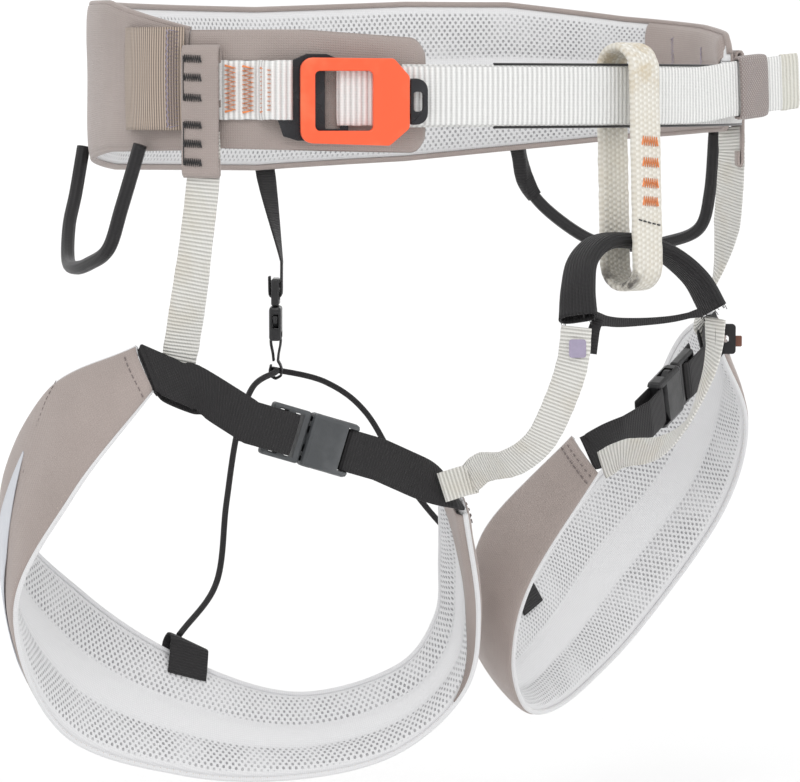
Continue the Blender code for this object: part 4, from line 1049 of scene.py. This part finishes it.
def makeKeeper(leave, along):
    centre = leave + along * 47 * mm
    up = unit(np.array([0, 0, 1.0]) - along[2] * along)
    out = np.cross(along, up)
    ring = []
    for k in range(48):
        turn = 2 * math.pi * k / 48
        c = math.copysign(abs(math.cos(turn)) ** 0.45, math.cos(turn))
        s = math.copysign(abs(math.sin(turn)) ** 0.45, math.sin(turn))
        ring.append(up * c * (strapSize["width"] / 2 + 1.0 * mm) + out * s * 1.9 * mm)
    ring = np.array(ring)
    shares = crossShares(17, 0.06)
    reach = (shares - 0.5) * 19 * mm
    grid = centre + ring[:, None, :] + along * reach[None, :, None]
    normal = gridNormals(grid, True)
    if (normal[0, 8] @ ring[0]) < 0:
        normal = -normal
    plump = 0.75 * mm * (1 - 0.6 * np.abs(2 * shares - 1) ** 6)
    made = slabObject("strapKeeper", grid + normal * plump[None, :, None], grid - normal * 0.5 * mm,
                      runOf(ring), reach, finish["knit"], wrap=True)
    stand(made, "keeper", "strap_keeper")


def makeShortTacks(angles, offsets):
    def spot(angle, z):
        out = np.interp(angle, angles, offsets)
        return waistPoint(angle, z, out + strapSize["webThick"] / 2 + 0.42 * mm)

    bars = []
    for angle, high, low in ((203.9, 8.5, -7.5), (207.2, 8.3, -7.8), (210.6, 7.6, -7.6)):
        bars.append(zigzag(spot, (angle, low * mm), (angle, high * mm), (1.9, 0), 10))
    stand(tubeObject("orangeTacks", bars, 0.85 * mm, finish["orangeThread"], 8), "belt")


def platePiece(name, outer, inner, thickness, matrix, material, body, nodes, bevel, centre=(0.0, 0.0)):
    # a flat part with an outline and perhaps a window, its edges rounded
    shape = bmesh.new()
    outerVerts = [shape.verts.new((x, -thickness / 2, z)) for x, z in outer]
    if inner:
        innerVerts = [shape.verts.new((x, -thickness / 2, z)) for x, z in inner]
        edges = []
        for ring in (outerVerts, innerVerts):
            edges += [shape.edges.new((ring[i], ring[(i + 1) % len(ring)])) for i in range(len(ring))]
        bmesh.ops.triangle_fill(shape, use_beauty=True, edges=edges)
        bmesh.ops.dissolve_limit(shape, angle_limit=0.01, verts=shape.verts, edges=shape.edges,
                                 delimit={"NORMAL"})
    else:
        shape.faces.new(outerVerts)
    made = bmesh.ops.extrude_face_region(shape, geom=shape.faces[:])
    moved = [v for v in made["geom"] if isinstance(v, bmesh.types.BMVert)]
    bmesh.ops.translate(shape, vec=(0, thickness, 0), verts=moved)
    bmesh.ops.recalc_face_normals(shape, faces=shape.faces)
    mesh = bpy.data.meshes.new(name)
    shape.to_mesh(mesh)
    shape.free()
    mesh.transform(matrix)
    mesh.materials.append(material)
    for face in mesh.polygons:
        face.use_smooth = True
    obj = bpy.data.objects.new(name, mesh)
    bpy.context.scene.collection.objects.link(obj)
    modifier = obj.modifiers.new("bevel", "BEVEL")
    modifier.width = bevel
    modifier.segments = 4
    modifier.limit_method = "ANGLE"
    modifier.angle_limit = math.radians(40)
    modifier.harden_normals = True
    return stand(obj, body, *nodes)


def roundCorners(corners, radii, steps=5):
    # corners of a polygon with each one rounded by its own radius
    made = []
    count = len(corners)
    for i in range(count):
        here = np.array(corners[i], float)
        before, after = np.array(corners[i - 1], float), np.array(corners[(i + 1) % count], float)
        toBefore, toAfter = unit(before - here), unit(after - here)
        cosine = float(np.clip(toBefore @ toAfter, -0.999, 0.999))
        half = math.acos(cosine) / 2
        radius = radii[i]
        reach = radius / math.tan(half)
        middle = here + unit(toBefore + toAfter) * radius / math.sin(half)
        first, last = here + toBefore * reach, here + toAfter * reach
        a = math.atan2(*(first - middle)[::-1])
        b = math.atan2(*(last - middle)[::-1])
        swing = (b - a + math.pi) % (2 * math.pi) - math.pi
        for k in range(steps + 1):
            t = a + swing * k / steps
            made.append((middle[0] + radius * math.cos(t), middle[1] + radius * math.sin(t)))
    return made


def makeWaistBuckle():
    l, h = buckle["length"] / 2, buckle["height"] / 2
    frameMatrix = waistFrame(buckle["angle"], 8.5 * mm, -buckle["drop"])
    corners = [(-l, -h + 1 * mm), (l - 7 * mm, -h), (l, -h + 6 * mm), (l, h - 6.5 * mm), (l - 5.5 * mm, h - 0.3 * mm),
               (-l, h)]
    outer = roundCorners(corners, [4.2 * mm, 2.2 * mm, 2.2 * mm, 2.2 * mm, 2.2 * mm, 4.2 * mm])
    window = [(-13.9 * mm, -10.0 * mm), (6.2 * mm, -10.0 * mm), (6.2 * mm, 10.6 * mm), (-13.9 * mm, 10.6 * mm)]
    inner = roundCorners(window, [1.6 * mm] * 4)
    platePiece("buckleFrame", outer, inner, buckle["thickness"], frameMatrix, finish["orange"], "buckle_frame",
               ("buckle_frame",), 1.1 * mm)

    hookMatrix = frameMatrix @ Matrix.Translation((l + 2.0 * mm, 0.9 * mm, 0))
    outer = roundCorners([(-1.65 * mm, -8 * mm), (4.6 * mm, -8 * mm), (4.6 * mm, 8 * mm), (-1.65 * mm, 8 * mm)],
                         [0.5 * mm, 4.0 * mm, 4.0 * mm, 0.5 * mm])
    inner = roundCorners([(-0.4 * mm, -3.4 * mm), (2.6 * mm, -3.4 * mm), (2.6 * mm, 3.4 * mm), (-0.4 * mm, 3.4 * mm)],
                         [1.0 * mm] * 4)
    platePiece("buckleHook", outer, inner, 1.6 * mm, hookMatrix, finish["blackMetal"], "buckle_frame",
               ("buckle_hook",), 0.5 * mm)


plateShape = ((-20, -6), (-18, -12), (-13, -13.5), (3.2, -13.5), (4.6, -12), (4.6, 12.4), (3.2, 14), (-3, 16.5),
              (-10, 16.5), (-19, 12.5), (-20, 8))


def plateMatrix():
    return waistFrame(buckle["angle"] - 3.0, 1.8 * mm + 0.7 * mm + strapSize["webThick"] + 0.5 * mm, -buckle["drop"])


def overPlate(degrees, clearance):
    # how far out a layer lies to clear the plate, and how far it is past the plate's near edge
    toPlate = np.array(plateMatrix().inverted())
    foot = toPlate @ np.append(waistPoint(degrees, 0.0, 0.0), 1.0)
    tip = toPlate @ np.append(waistPoint(degrees, 0.0, 1.0), 1.0)
    out = (foot[1] + 0.5 * mm + clearance) / (foot[1] - tip[1])
    return out, foot[0] + 20 * mm


def makePlate():
    outer = roundCorners([(x * mm, z * mm) for x, z in plateShape], [0.8 * mm] * len(plateShape), 3)
    window = ((-3.5, -9.4), (1.8, -9.4), (1.8, 12.6), (-3.5, 12.6))
    inner = roundCorners([(x * mm, z * mm) for x, z in window], [0.5 * mm] * 4, 3)
    platePiece("bucklePlate", outer, inner, 1.0 * mm, plateMatrix(), finish["blackMetal"], "belt", ("buckle_plate",),
               0.3 * mm)


# tie-in: hip webs, belay loop, sleeve, bridge

def makeHipWebs():
    topOffset = 1.8 * mm + 0.3 * mm + strapSize["webThick"] / 2 + 0.6 * mm
    for side, name in bothSides:
        degrees = waist["tabRight"] if side < 0 else waist["tabLeft"]
        end, forward, across, out = legOuterFrame(side)
        across = unit(across - (across @ forward) * forward)
        pocket = end + forward * 11.2 * mm - out * 0.45 * mm
        down = [waistPoint(degrees, -14.5 * mm, topOffset), waistPoint(degrees, -30.0 * mm, topOffset)]
        down += [sided(np.array(p) * mm, side) for p in ((137.5, -31, -56), (137, -26.5, -74))]
        down += [pocket + across * 10 * mm, pocket + across * 2 * mm, pocket - across * 5.5 * mm]
        path = smoothPath(down, 30)
        normal = waistNormal(degrees)
        alongBelt = np.array([-normal[1], normal[0], 0.0]) * side
        if side > 0:
            alongBelt = unit(alongBelt + np.array([-0.62, 0.25, 0.0]))
        turn = np.clip((np.arange(30) - 12) / 10.0, 0, 1)[:, None]
        web = webbing("hipWeb_" + name, path, alongBelt * (1 - turn) - forward * turn, strapSize["web"],
                      strapSize["webThick"], finish["webDirty"], waver=0.2 * mm)
        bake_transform(web)
        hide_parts("hip_web_" + name)
    print("hip webs made")


belay = {"x": 5 * mm, "lean": 0.035, "width": 14.5 * mm, "thickness": 3.2 * mm, "front": -111.5 * mm,
         "back": -95.2 * mm, "top": 15.5 * mm, "bottom": -71 * mm}


def makeBelayLoop():
    middle = (belay["front"] + belay["back"]) / 2
    half = (belay["back"] - belay["front"]) / 2
    path = []
    for k in range(19):
        turn = math.pi * k / 18
        path.append((belay["x"], middle - half * math.cos(turn), belay["top"] - half * (1 - math.sin(turn))))
    for z in np.linspace(belay["top"] - half - 4 * mm, belay["bottom"] + half + 4 * mm, 14):
        path.append((belay["x"], belay["back"], z))
    for k in range(19):
        turn = math.pi * k / 18
        path.append((belay["x"], middle + half * math.cos(turn), belay["bottom"] + half * (1 - math.sin(turn))))
    for z in np.linspace(belay["bottom"] + half + 4 * mm, belay["top"] - half - 4 * mm, 14):
        path.append((belay["x"], belay["front"], z))
    path = np.array(path)
    path[:, 0] -= belay["lean"] * path[:, 2]
    loop = webbing("belayLoop", path, (1, 0, 0), belay["width"], belay["thickness"], finish["belay"], wrap=True,
                   columns=19, soft=0.30, waver=0.35 * mm)
    stand(loop, "belay_loop", "belay_loop")

    def spot(x, z):
        return np.array([belay["x"] - belay["lean"] * z + x, belay["front"] - belay["thickness"] / 2 - 0.12 * mm, z])

    rows = []
    for z, start, end in ((-18, -3.4, 4.6), (-25.6, -3.2, 4.8), (-33, -3.4, 4.4), (-39.6, -3.4, 4.2)):
        rows.append(zigzag(spot, (start * mm, z * mm), (end * mm, (z - 0.6) * mm), (0, 3.0 * mm), 7))
    stand(tubeObject("belayTacks", rows, 0.72 * mm, finish["orangeThread"], 8), "belay_loop")
    line = dashes(spot, [(-6.2 * mm, -46.2 * mm), (0, -47.6 * mm), (6.4 * mm, -48.8 * mm)], 1.5 * mm, 0.9 * mm)
    stand(tubeObject("belayStitches", line, 0.6 * mm, finish["blackThread"], 6), "belay_loop")
    print("belay loop made")


sleeve = {"stations": ((-35, -118, -80), (-29.5, -112.5, -70), (-20, -105.6, -60.5), (-8, -103.2, -54.5),
                       (8, -103.2, -54.5), (22, -105, -58.5), (31, -112.5, -68), (35.5, -118, -80)),
          "width": 10.0 * mm, "depth": 4.8 * mm, "wall": 0.45 * mm}


def makeSleeve():
    path = smoothPath(np.array(sleeve["stations"]) * mm, 90)
    turn = np.linspace(0, 1, 90)[:, None]
    across = np.array([0.45, -0.89, 0.0]) * (1 - turn) + np.array([-0.1, -0.99, 0.0]) * turn
    taper = 1.0 + 0.32 * np.abs(np.linspace(-1, 1, 90)) ** 2
    way = tangents(path)
    across = unit(across - (across * way).sum(axis=1, keepdims=True) * way)
    out = np.cross(way, across)
    rows = []
    for k in range(36):
        angle = 2 * math.pi * k / 36
        c = math.copysign(abs(math.cos(angle)) ** 0.6, math.cos(angle))
        s = math.copysign(abs(math.sin(angle)) ** 0.8, math.sin(angle))
        rows.append(path + across * (c * sleeve["width"] / 2) * taper[:, None] + out * s * sleeve["depth"] / 2)
    grid = np.array(rows)
    normal = gridNormals(grid, True)
    if (normal[0, 45] @ across[45]) < 0:
        normal = -normal
    girth = runOf(np.vstack([grid[:, 45], grid[:1, 45]]))[:-1]
    made = slabObject("tieInSleeve", grid + normal * sleeve["wall"], grid - normal * sleeve["wall"], girth,
                      runOf(path), finish["sleeveRound"], wrap=True)
    stand(made, "belt", "tie_in_sleeve")
    core = webbing("bridgeCore", path[4:-4], across[4:-4], 8.6 * mm, 1.6 * mm, finish["webDirty"])
    stand(core, "belt", "bridge_core")

    # a few loose threads where the sleeve was cut
    loose = []
    for end, inner in ((0, 6), (-1, -7)):
        way = unit(path[end] - path[inner])
        for k in range(9):
            start = grid[(k * 7) % 36, end] - way * 0.5 * mm
            bend = Vector((puff((k, 1, end), 3.1), puff((k, 2, end), 3.1), puff((k, 3, end), 3.1)))
            tip = start + way * (1.6 + 1.4 * abs(puff((k, 5, end), 2.3))) * mm + np.array(bend) * 1.6 * mm
            loose.append(smoothPath([start, (start + tip) / 2 + np.array(bend) * 0.5 * mm, tip], 6))
    stand(tubeObject("looseThreads", loose, 0.3 * mm, finish["blackThread"], 5), "belt")


bridge = {"stations": ((36, -118.2, -83), (36.5, -117, -95), (37, -112, -108), (37.5, -102, -124), (38, -88, -133),
                       (36.5, -72, -136), (34.5, -62.5, -141)),
          "rightFoot": ((-33.0, -63.6, -141.0), (-38.5, -62.6, -141.8), (-45.0, -58.6, -144.0)),
          "crossTail": ((-27.0, -120.4, -80.5), (-30.0, -121.2, -83.5), (-31.2, -121.4, -88), (-31.8, -121.2, -92.5)),
          "cross": ((-27.5, -119.2, -80.5), (-12, -117, -82.5), (12, -117, -82.5), (27.5, -119.2, -80.5))}


def makeBridge():
    for side, name in bothSides:
        path = smoothPath(sided(np.array(bridge["stations"]) * mm, side), 40)
        part = np.linspace(0, 1, 40)[:, None]
        first = np.array([0.45, -0.89, 0.0]) if side < 0 else np.array([-0.1, -0.99, 0.0])
        last = sided((-0.15, -0.3, -0.95), side)
        middle = sided((-0.75, -0.45, -0.35), side)
        one = np.clip(part * 2, 0, 1)
        two = np.clip(part * 2 - 1, 0, 1)
        across = first * (1 - one) + middle * one * (1 - two) + last * two
        web = webbing("bridgeWeb_" + name, path, across, strapSize["web"] * 0.9, strapSize["webThick"],
                      finish["webDirty"], waver=0.2 * mm)
        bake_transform(web)
        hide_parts("bridge_web_" + name)
    foot = smoothPath(np.array(bridge["rightFoot"]) * mm, 20)
    stand(webbing("bridgeFoot", foot, (0.15, -0.3, -0.95), strapSize["web"] * 0.88, 1.2 * mm, finish["webDirty"]),
          "leg_right")
    cross = smoothPath(np.array(bridge["cross"]) * mm, 40)
    widths = np.interp(np.linspace(0, 1, 40), (0, 0.12, 0.5, 0.9, 1), (1.25, 0.85, 0.62, 0.5, 0.8))
    elastic = webbing("crossElastic", cross, (0, 0.15, 1), 4.5 * mm, 1.0 * mm, finish["black"], widths=widths)
    stand(elastic, "belt", "cross_elastic")
    tail = smoothPath(np.array(bridge["crossTail"]) * mm, 24)
    stand(webbing("crossTail", tail, (0.72, -0.68, 0.1), 4.2 * mm, 0.8 * mm, finish["black"]), "belt")
    makeLabels()
    print("tie-in made")


def makeLabels():
    # small sewn bits at the two ends of the bridge
    facing = (np.array([0.7355, -0.678, 0.0]), np.array([-0.678, -0.7355, 0.0]), np.array([0.0, 0.0, 1.0]))

    def flag(name, centre, wide, high, thick, material, hole=0.0):
        matrix = axesMatrix(np.array(centre) * mm, *facing)
        w, h = wide / 2, high / 2
        outer = roundCorners([(-w, -h), (w, -h), (w, h), (-w, h)], [min(w, h) * 0.35] * 4)
        if hole:
            inner = roundCorners([(-hole, -hole), (hole, -hole), (hole, hole), (-hole, hole)], [hole * 0.8] * 4)
        else:
            inner = None
        return platePiece(name, outer, inner, thick, matrix, material, "belt", (), 0.15 * mm)

    flag("bridgeEye", (38.5, -121.0, -90.5), 7.5 * mm, 11 * mm, 1.4 * mm, finish["black"], 1.3 * mm)
    flag("brownLabel", (44.0, -122.0, -91.5), 3.2 * mm, 4.0 * mm, 0.5 * mm, finish["label"])
    flag("lilacLabel", (-36.8, -119.6, -90.5), 6.0 * mm, 6.5 * mm, 0.4 * mm, finish["lilacThread"])


# leg loops

legLook = {"shellOut": 1.1 * mm, "shellIn": 0.1 * mm, "liningIn": -2.0 * mm, "puff": 1.6 * mm,
           "bands": (0.0, 0.35, 0.63, 1.0)}
bands = {}


def legSurface(side, columns=34):
    # the band's middle surface, its outward ways, and its shares of length and width
    if (side, columns) in bands:
        return bands[side, columns]
    lower, upper = legRails(side)
    shares = crossShares(columns, 0.04)
    grid = lower[:, None] * (1 - shares)[None, :, None] + upper[:, None] * shares[None, :, None]
    normal = gridNormals(grid) * side
    grid = grid + normal * (4 * shares * (1 - shares) * leg["belly"])[None, :, None]
    normal = gridNormals(grid) * side
    bands[side, columns] = (grid, normal, shares)
    return bands[side, columns]


def legPlace(side, along, across, height):
    # a place on the leg band by shares of its length and width, that high over its middle surface
    grid, normal, shares = legSurface(side)
    i = min(max(along, 0), 1) * (len(grid) - 1)
    j = float(np.interp(across, shares, np.arange(len(shares))))
    a, b = int(min(i, len(grid) - 2)), int(min(j, len(shares) - 2))
    s, t = i - a, j - b
    def mixed(values):
        return ((values[a, b] * (1 - s) + values[a + 1, b] * s) * (1 - t)
                + (values[a, b + 1] * (1 - s) + values[a + 1, b + 1] * s) * t)
    return mixed(grid) + unit(mixed(normal)) * height


def legEnds(rows):
    # falls from 1 to 0.25 in the last few rows of each end
    far = np.minimum(np.arange(rows), np.arange(rows)[::-1]) / 3.0
    return 0.25 + 0.75 * np.clip(far, 0, 1) ** 0.5


def makeLegBands():
    for side, name in bothSides:
        grid, normal, shares = legSurface(side)
        rows = len(grid)
        run = runOf(grid[:, 17])
        width = np.linalg.norm(grid[:, -1] - grid[:, 0], axis=1)
        across = (shares[None, :] - 0.5) * width[:, None]
        fall = edgeFall(shares, 8)[None, :] * legEnds(rows)[:, None]
        lumps = np.array([[puff(p, 55) for p in row] for row in grid]) * 0.55 * mm
        outer = grid + normal * (legLook["shellIn"] + (legLook["shellOut"] - legLook["shellIn"]) * fall
                                 + lumps * fall)[:, :, None]
        inner = grid - normal * 0.15 * mm
        shell = slabObject("legShell_" + name, outer, inner, run, across, finish["fabric"])
        stand(shell, "leg_" + name, "leg_shell_" + name)

        swell = bandPuff(shares, legLook["bands"])[None, :] * legEnds(rows)[:, None]
        lumps = np.array([[puff(p + 1.0, 70) for p in row] for row in grid]) * 0.4 * mm
        depth = legLook["liningIn"] * edgeFall(shares, 10)[None, :] * legEnds(rows)[:, None] - legLook["puff"] * swell
        inset = unit(grid[:, -1:] - grid[:, :1]) * (0.5 - shares)[None, :, None] * 1.0 * mm
        inner = grid + inset + normal * (depth + lumps * swell)[:, :, None]
        outer = grid + inset - normal * 0.1 * mm
        lining = slabObject("legLining_" + name, outer, inner, run, across, finish["legMesh"])
        stand(lining, "leg_" + name, "leg_lining_" + name)
    print("leg bands made")


def makeLegTrim():
    for side, name in bothSides:
        body = "leg_" + name
        steps = np.linspace(0.0, 1.0, 200)
        lowEdge = [legPlace(side, u, 0.0, -0.9 * mm) for u in steps]
        highEdge = [legPlace(side, u, 1.0, -0.9 * mm) for u in steps]
        stand(tubeObject("legBinding_" + name, [lowEdge, highEdge], 2.0 * mm, finish["legMesh"], 8), body)
        whip = []
        for u in np.linspace(0.02, 0.98, 150):
            whip.append([legPlace(side, u, -0.005, -1.9 * mm), legPlace(side, u + 0.0012, -0.012, -0.6 * mm),
                         legPlace(side, u + 0.002, 0.03, 0.55 * mm)])
        stand(tubeObject("whipStitches_" + name, whip, 0.35 * mm, finish["beigeThread"], 5), body)

        def spot(along, across):
            return legPlace(side, along, across, legLook["shellOut"] + 0.1 * mm)

        ends = dashes(spot, [(0.012, v) for v in np.linspace(0.04, 0.96, 20)], 1.5 * mm, 1.0 * mm)
        ends += dashes(spot, [(0.985, v) for v in np.linspace(0.04, 0.96, 20)], 1.6 * mm, 0.9 * mm)
        ends += dashes(spot, [(0.992, v) for v in np.linspace(0.04, 0.96, 20)], 1.0 * mm, 1.6 * mm)
        stand(tubeObject("endStitches_" + name, ends, 0.5 * mm, finish["greyThread"], 6), body)
        seamLine = [(0.085 + 0.075 * (1 - v) / 0.45, v) for v in np.linspace(0.99, 0.56, 24)]
        seam = dashes(spot, seamLine, 1.3 * mm, 0.8 * mm)
        stand(tubeObject("panelSeam_" + name, seam, 0.28 * mm, finish["greyThread"], 5), body)
        makeReflector(side, name)
    makeInnerFacing()
    print("leg trim made")


def makeInnerFacing():
    # near the crotch the right band turns its grey face over the front edge
    rows, columns = 60, 10
    grid = np.zeros((rows, columns, 3))
    for i, u in enumerate(np.linspace(0.79, 0.997, rows)):
        wide = np.interp(u, (0.79, 0.86, 0.91, 0.955, 1.0), (0.02, 0.12, 0.26, 0.52, 0.97))
        for j, t in enumerate(np.linspace(0, 1, columns)):
            deep = 1.2 + 3.2 * min(wide * t / 0.12, 1.0) ** 0.6
            grid[i, j] = legPlace(-1, u, -0.015 + wide * t, -deep * mm)
    normal = gridNormals(grid)
    facing = slabObject("innerFacing", grid + normal * 0.25 * mm, grid - normal * 0.25 * mm, runOf(grid[:, 4]),
                        np.linspace(0, 20 * mm, columns), finish["fabric"])
    stand(facing, "leg_right")


def makeReflector(side, name):
    # a wedge of reflective film that widens down the side of the leg
    rows, columns = 40, 9
    grid = np.zeros((rows, columns, 3))
    for i, u in enumerate(np.linspace(0.148, 0.335, rows)):
        low = np.interp(u, (0.148, 0.17, 0.209, 0.235, 0.30, 0.335), (0.70, 0.55, 0.25, 0.17, 0.08, 0.08))
        high = np.interp(u, (0.148, 0.209, 0.335), (0.72, 0.62, 0.78))
        for j, t in enumerate(np.linspace(0, 1, columns)):
            grid[i, j] = legPlace(side, u, low + (high - low) * t, legLook["shellOut"] + 0.6 * mm)
    normal = gridNormals(grid) * side
    film = slabObject("reflectiveWedge_" + name, grid + normal * 0.12 * mm, grid - normal * 0.3 * mm,
                      runOf(grid[:, 4]), np.linspace(0, 12 * mm, columns), finish["reflective"])
    stand(film, "leg_" + name)


def makeLegStraps():
    for side, name in bothSides:
        body = "leg_" + name
        along, out, across = legBuckleAxes(side)
        centre = legBuckleCentre(side)
        matrix = axesMatrix(centre, along, out, across)
        lower, upper = legRails(side, 44)
        outerAcross = unit(upper[0] - lower[0])
        innerAcross = unit(upper[-1] - lower[-1])
        outerEnd, startWay, _, startOut = legOuterFrame(side)
        innerEnd = (lower[-1] + upper[-1]) / 2
        endWay = unit(lower[-1] + upper[-1] - lower[-2] - upper[-2])
        endWay = unit(endWay + 2.0 * unit(centre - innerEnd))
        endWay = unit(endWay - (endWay @ innerAcross) * innerAcross)

        turn = localPath(matrix, ((-22, 3.3), (-15, 3.3), (-8, 3.3), (-5.9, 3.1), (-4.8, 2.2), (-4.6, 0.6),
                                  (-4.6, -0.6), (-4.8, -2.2), (-5.9, -3.1), (-8, -3.3), (-16, -3.4), (-23, -3.8)))
        run = [outerEnd + startWay * a * mm + startOut * 1.5 * mm for a in (2.4, 9, 16, 22)]
        lead = smoothPath(run + [turn[0]], 16)
        path = np.vstack([lead[:-1], turn])
        weights = np.clip((np.arange(len(path)) - 4) / 9.0, 0, 1)[:, None]
        first = outerAcross if (outerAcross @ across) > 0 else -outerAcross
        ways = first * (1 - weights) + across * weights
        strap = webbing("legStrapOuter_" + name, path, ways, leg["strap"], leg["strapThick"], finish["black"],
                        skewed=True)
        stand(strap, body, "leg_strap_outer_" + name)

        turn = localPath(matrix, ((31, -2.7), (24, -2.6), (19.5, -2.5), (17.2, -2.2), (16.2, -1.2), (16.0, 0.0),
                                  (16.2, 1.2), (17.2, 2.2), (19.5, 2.5), (24, 2.6), (30, 2.6)))
        run = [innerEnd + endWay * 7 * mm, innerEnd + endWay * 1.0 * mm]
        lead = smoothPath([turn[-1]] + run, 12)
        path = np.vstack([turn, lead[1:]])
        weights = np.clip((np.arange(len(path)) - 15) / 6.0, 0, 1)[:, None]
        ways = across * (1 - weights) + (innerAcross if innerAcross @ across > 0 else -innerAcross) * weights
        strap = webbing("legStrapInner_" + name, path, ways, leg["strap"], leg["strapThick"], finish["black"])
        stand(strap, body, "leg_strap_inner_" + name)

        hem = [outerEnd + startWay * a * mm + startOut * b * mm
               for a, b in ((1.2, 0.2), (3.0, -2.2), (6.5, -3.0), (12, -3.0), (17.5, -2.2), (21, -0.4), (24, 0.4))]
        strap = webbing("legHemLoop_" + name, smoothPath(hem, 24), outerAcross, leg["strap"], leg["strapThick"],
                        finish["black"], skewed=True)
        stand(strap, body, "leg_hem_loop_" + name)
        fold = [outerEnd + startWay * a * mm + startOut * b * mm for a, b in
                ((2.6, 1.5), (1.4, 1.2), (0.9, 0.2), (1.2, -1.2), (2.4, -2.2))]
        strap = webbing("legFold_" + name, smoothPath(fold, 14), outerAcross, leg["strap"], leg["strapThick"],
                        finish["black"], skewed=True)
        stand(strap, body)
    print("leg straps made")


# rear drop, tabs and gear loops

def makeDrop():
    sized, along, out, across = dropMatrix()
    top = waistPoint(87.0, -22 * mm, 2.7 * mm)
    low = waistPoint(87.0, -32 * mm, 2.7 * mm)
    turn = localPath(sized, ((-24, 3.4), (-15, 3.3), (-8, 3.3), (-5.9, 3.1), (-4.8, 2.2), (-4.6, 0.6),
                             (-4.6, -0.6), (-4.8, -2.2), (-5.9, -3.1), (-8, -3.3), (-16, -3.4)))
    lead = smoothPath([top, low, turn[0]], 12)
    path = np.vstack([lead[:-1], turn])
    weights = np.clip((np.arange(len(path)) - 3) / 8.0, 0, 1)[:, None]
    strap = webbing("dropStrap", path, np.array([1.0, 0, 0]) * (1 - weights) + across * weights, 10 * mm, 1.0 * mm,
                    finish["black"], step=0.7 * mm)
    stand(strap, "belt", "drop_strap")
    turn = localPath(sized, ((31, -1.2), (27, -1.6), (22, -2.6), (19.5, -2.8), (17.2, -2.3), (16.2, -1.2),
                             (16.0, 0.0), (16.2, 1.2), (17.2, 2.3), (19.5, 2.8), (22, 2.6), (27, 1.6),
                             (31, 1.2), (33.5, 2.6), (36.5, 3.4), (39.5, 2.8), (41, 0.0), (39.5, -2.8),
                             (36.5, -3.4), (33.4, -2.7)))
    loop = webbing("dropLoop", turn, across, 8 * mm, 0.9 * mm, finish["black"], step=0.5 * mm)
    stand(loop, "belt", "drop_loop")
    print("rear drop made")


def makeRiserTabs():
    profile = ((11, 3.3), (5, 3.3), (0.5, 3.2), (-2.5, 2.6), (-4.2, 0.0), (-2.5, -3.4), (0.5, -4.0), (5, -4.2),
               (11, -4.2))
    for side, name in bothSides:
        edge, inward, along, normal = legEdgeFrame(side)
        path = [edge + inward * (a * mm - riser["rise"]) - normal * b * mm for a, b in profile]
        made = webbing("riserTab_" + name, smoothPath(path, 40), along, riser["tabWidth"], 1.0 * mm, finish["black"])
        stand(made, "leg_" + name, "riser_tab_" + name)


gear = {"diameter": 5.0 * mm, "offset": 4.6 * mm, "front": {"left": -12.0, "right": 184.5}, "rear": 38.0,
        "stations": ((0.0, 0.3, -20), (0.05, 6, -41), (0.12, 9.5, -56), (0.30, 13, -62), (0.48, 14.5, -64),
                     (0.68, 13, -62), (0.88, 8.5, -50), (0.97, 4, -38), (1.0, 0.3, -21))}


def makeGearLoops():
    for side, name in bothSides:
        front = waistPoint(gear["front"][name], 0.0, gear["offset"])
        rear = waistPoint(gear["rear"] if side > 0 else 180 - gear["rear"], 0.0, gear["offset"])
        out = unit(np.array([rear[1] - front[1], front[0] - rear[0], 0.0]))
        out = out * math.copysign(1.0, out[0] * side)
        path = [front * (1 - part) + rear * part + out * bulge * mm + np.array([0, 0, z * mm])
                for part, bulge, z in gear["stations"]]
        path[0] = path[0] + np.array([0.0, 0.0, 3.5 * mm if side > 0 else 0.8 * mm])
        loop = tubeObject("gearLoop_" + name, [smoothPath(path, 110)], gear["diameter"], finish["gear"], 16)
        stand(loop, "gear_" + name, "gear_loop_" + name)
        if side > 0:
            flare = smoothPath(path, 110)[:90:-1]
            sheath = webbing("gearFlare", flare, (0, 0.2, 1), 10 * mm, 5.6 * mm, finish["black"],
                             widths=np.linspace(1.0, 0.55, len(flare)))
            stand(sheath, "gear_left")
    print("gear loops made")


def finishClips():
    for node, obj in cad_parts.items():
        if node in replacedNodes or obj.hide_render:
            continue
        if "buckle" in node:
            material = finish["plastic"]
            # the buckles on the left and at the rear drop take the darker copy, painted shade on the side away from
            # the key light
            if node.startswith("drop") or node.endswith("left"):
                material = finish["darkPlastic"]
            obj.data.materials.clear()
            obj.data.materials.append(material)
            weld = obj.modifiers.new("weld", "WELD")
            weld.merge_threshold = 0.01 * mm
            edge = obj.modifiers.new("bevel", "BEVEL")
            edge.width = 0.35 * mm
            edge.segments = 2
            edge.limit_method = "ANGLE"
            edge.angle_limit = math.radians(35)
            edge.use_clamp_overlap = True


def makeEverything():
    setCamera()
    mixFinishes()
    makeRiserCords()
    setStudio()
    makeBelt()
    makeBeltTrim()
    makePatches()
    makeTabs()
    makeStraps()
    makeWaistBuckle()
    makePlate()
    makeHipWebs()
    makeBelayLoop()
    makeSleeve()
    makeBridge()
    makeLegBands()
    makeLegTrim()
    makeLegStraps()
    makeDrop()
    makeRiserTabs()
    makeGearLoops()
    finishClips()


makeEverything()
left = [n for n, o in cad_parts.items() if not o.hide_render]
print("solids still shown:", sorted(left))
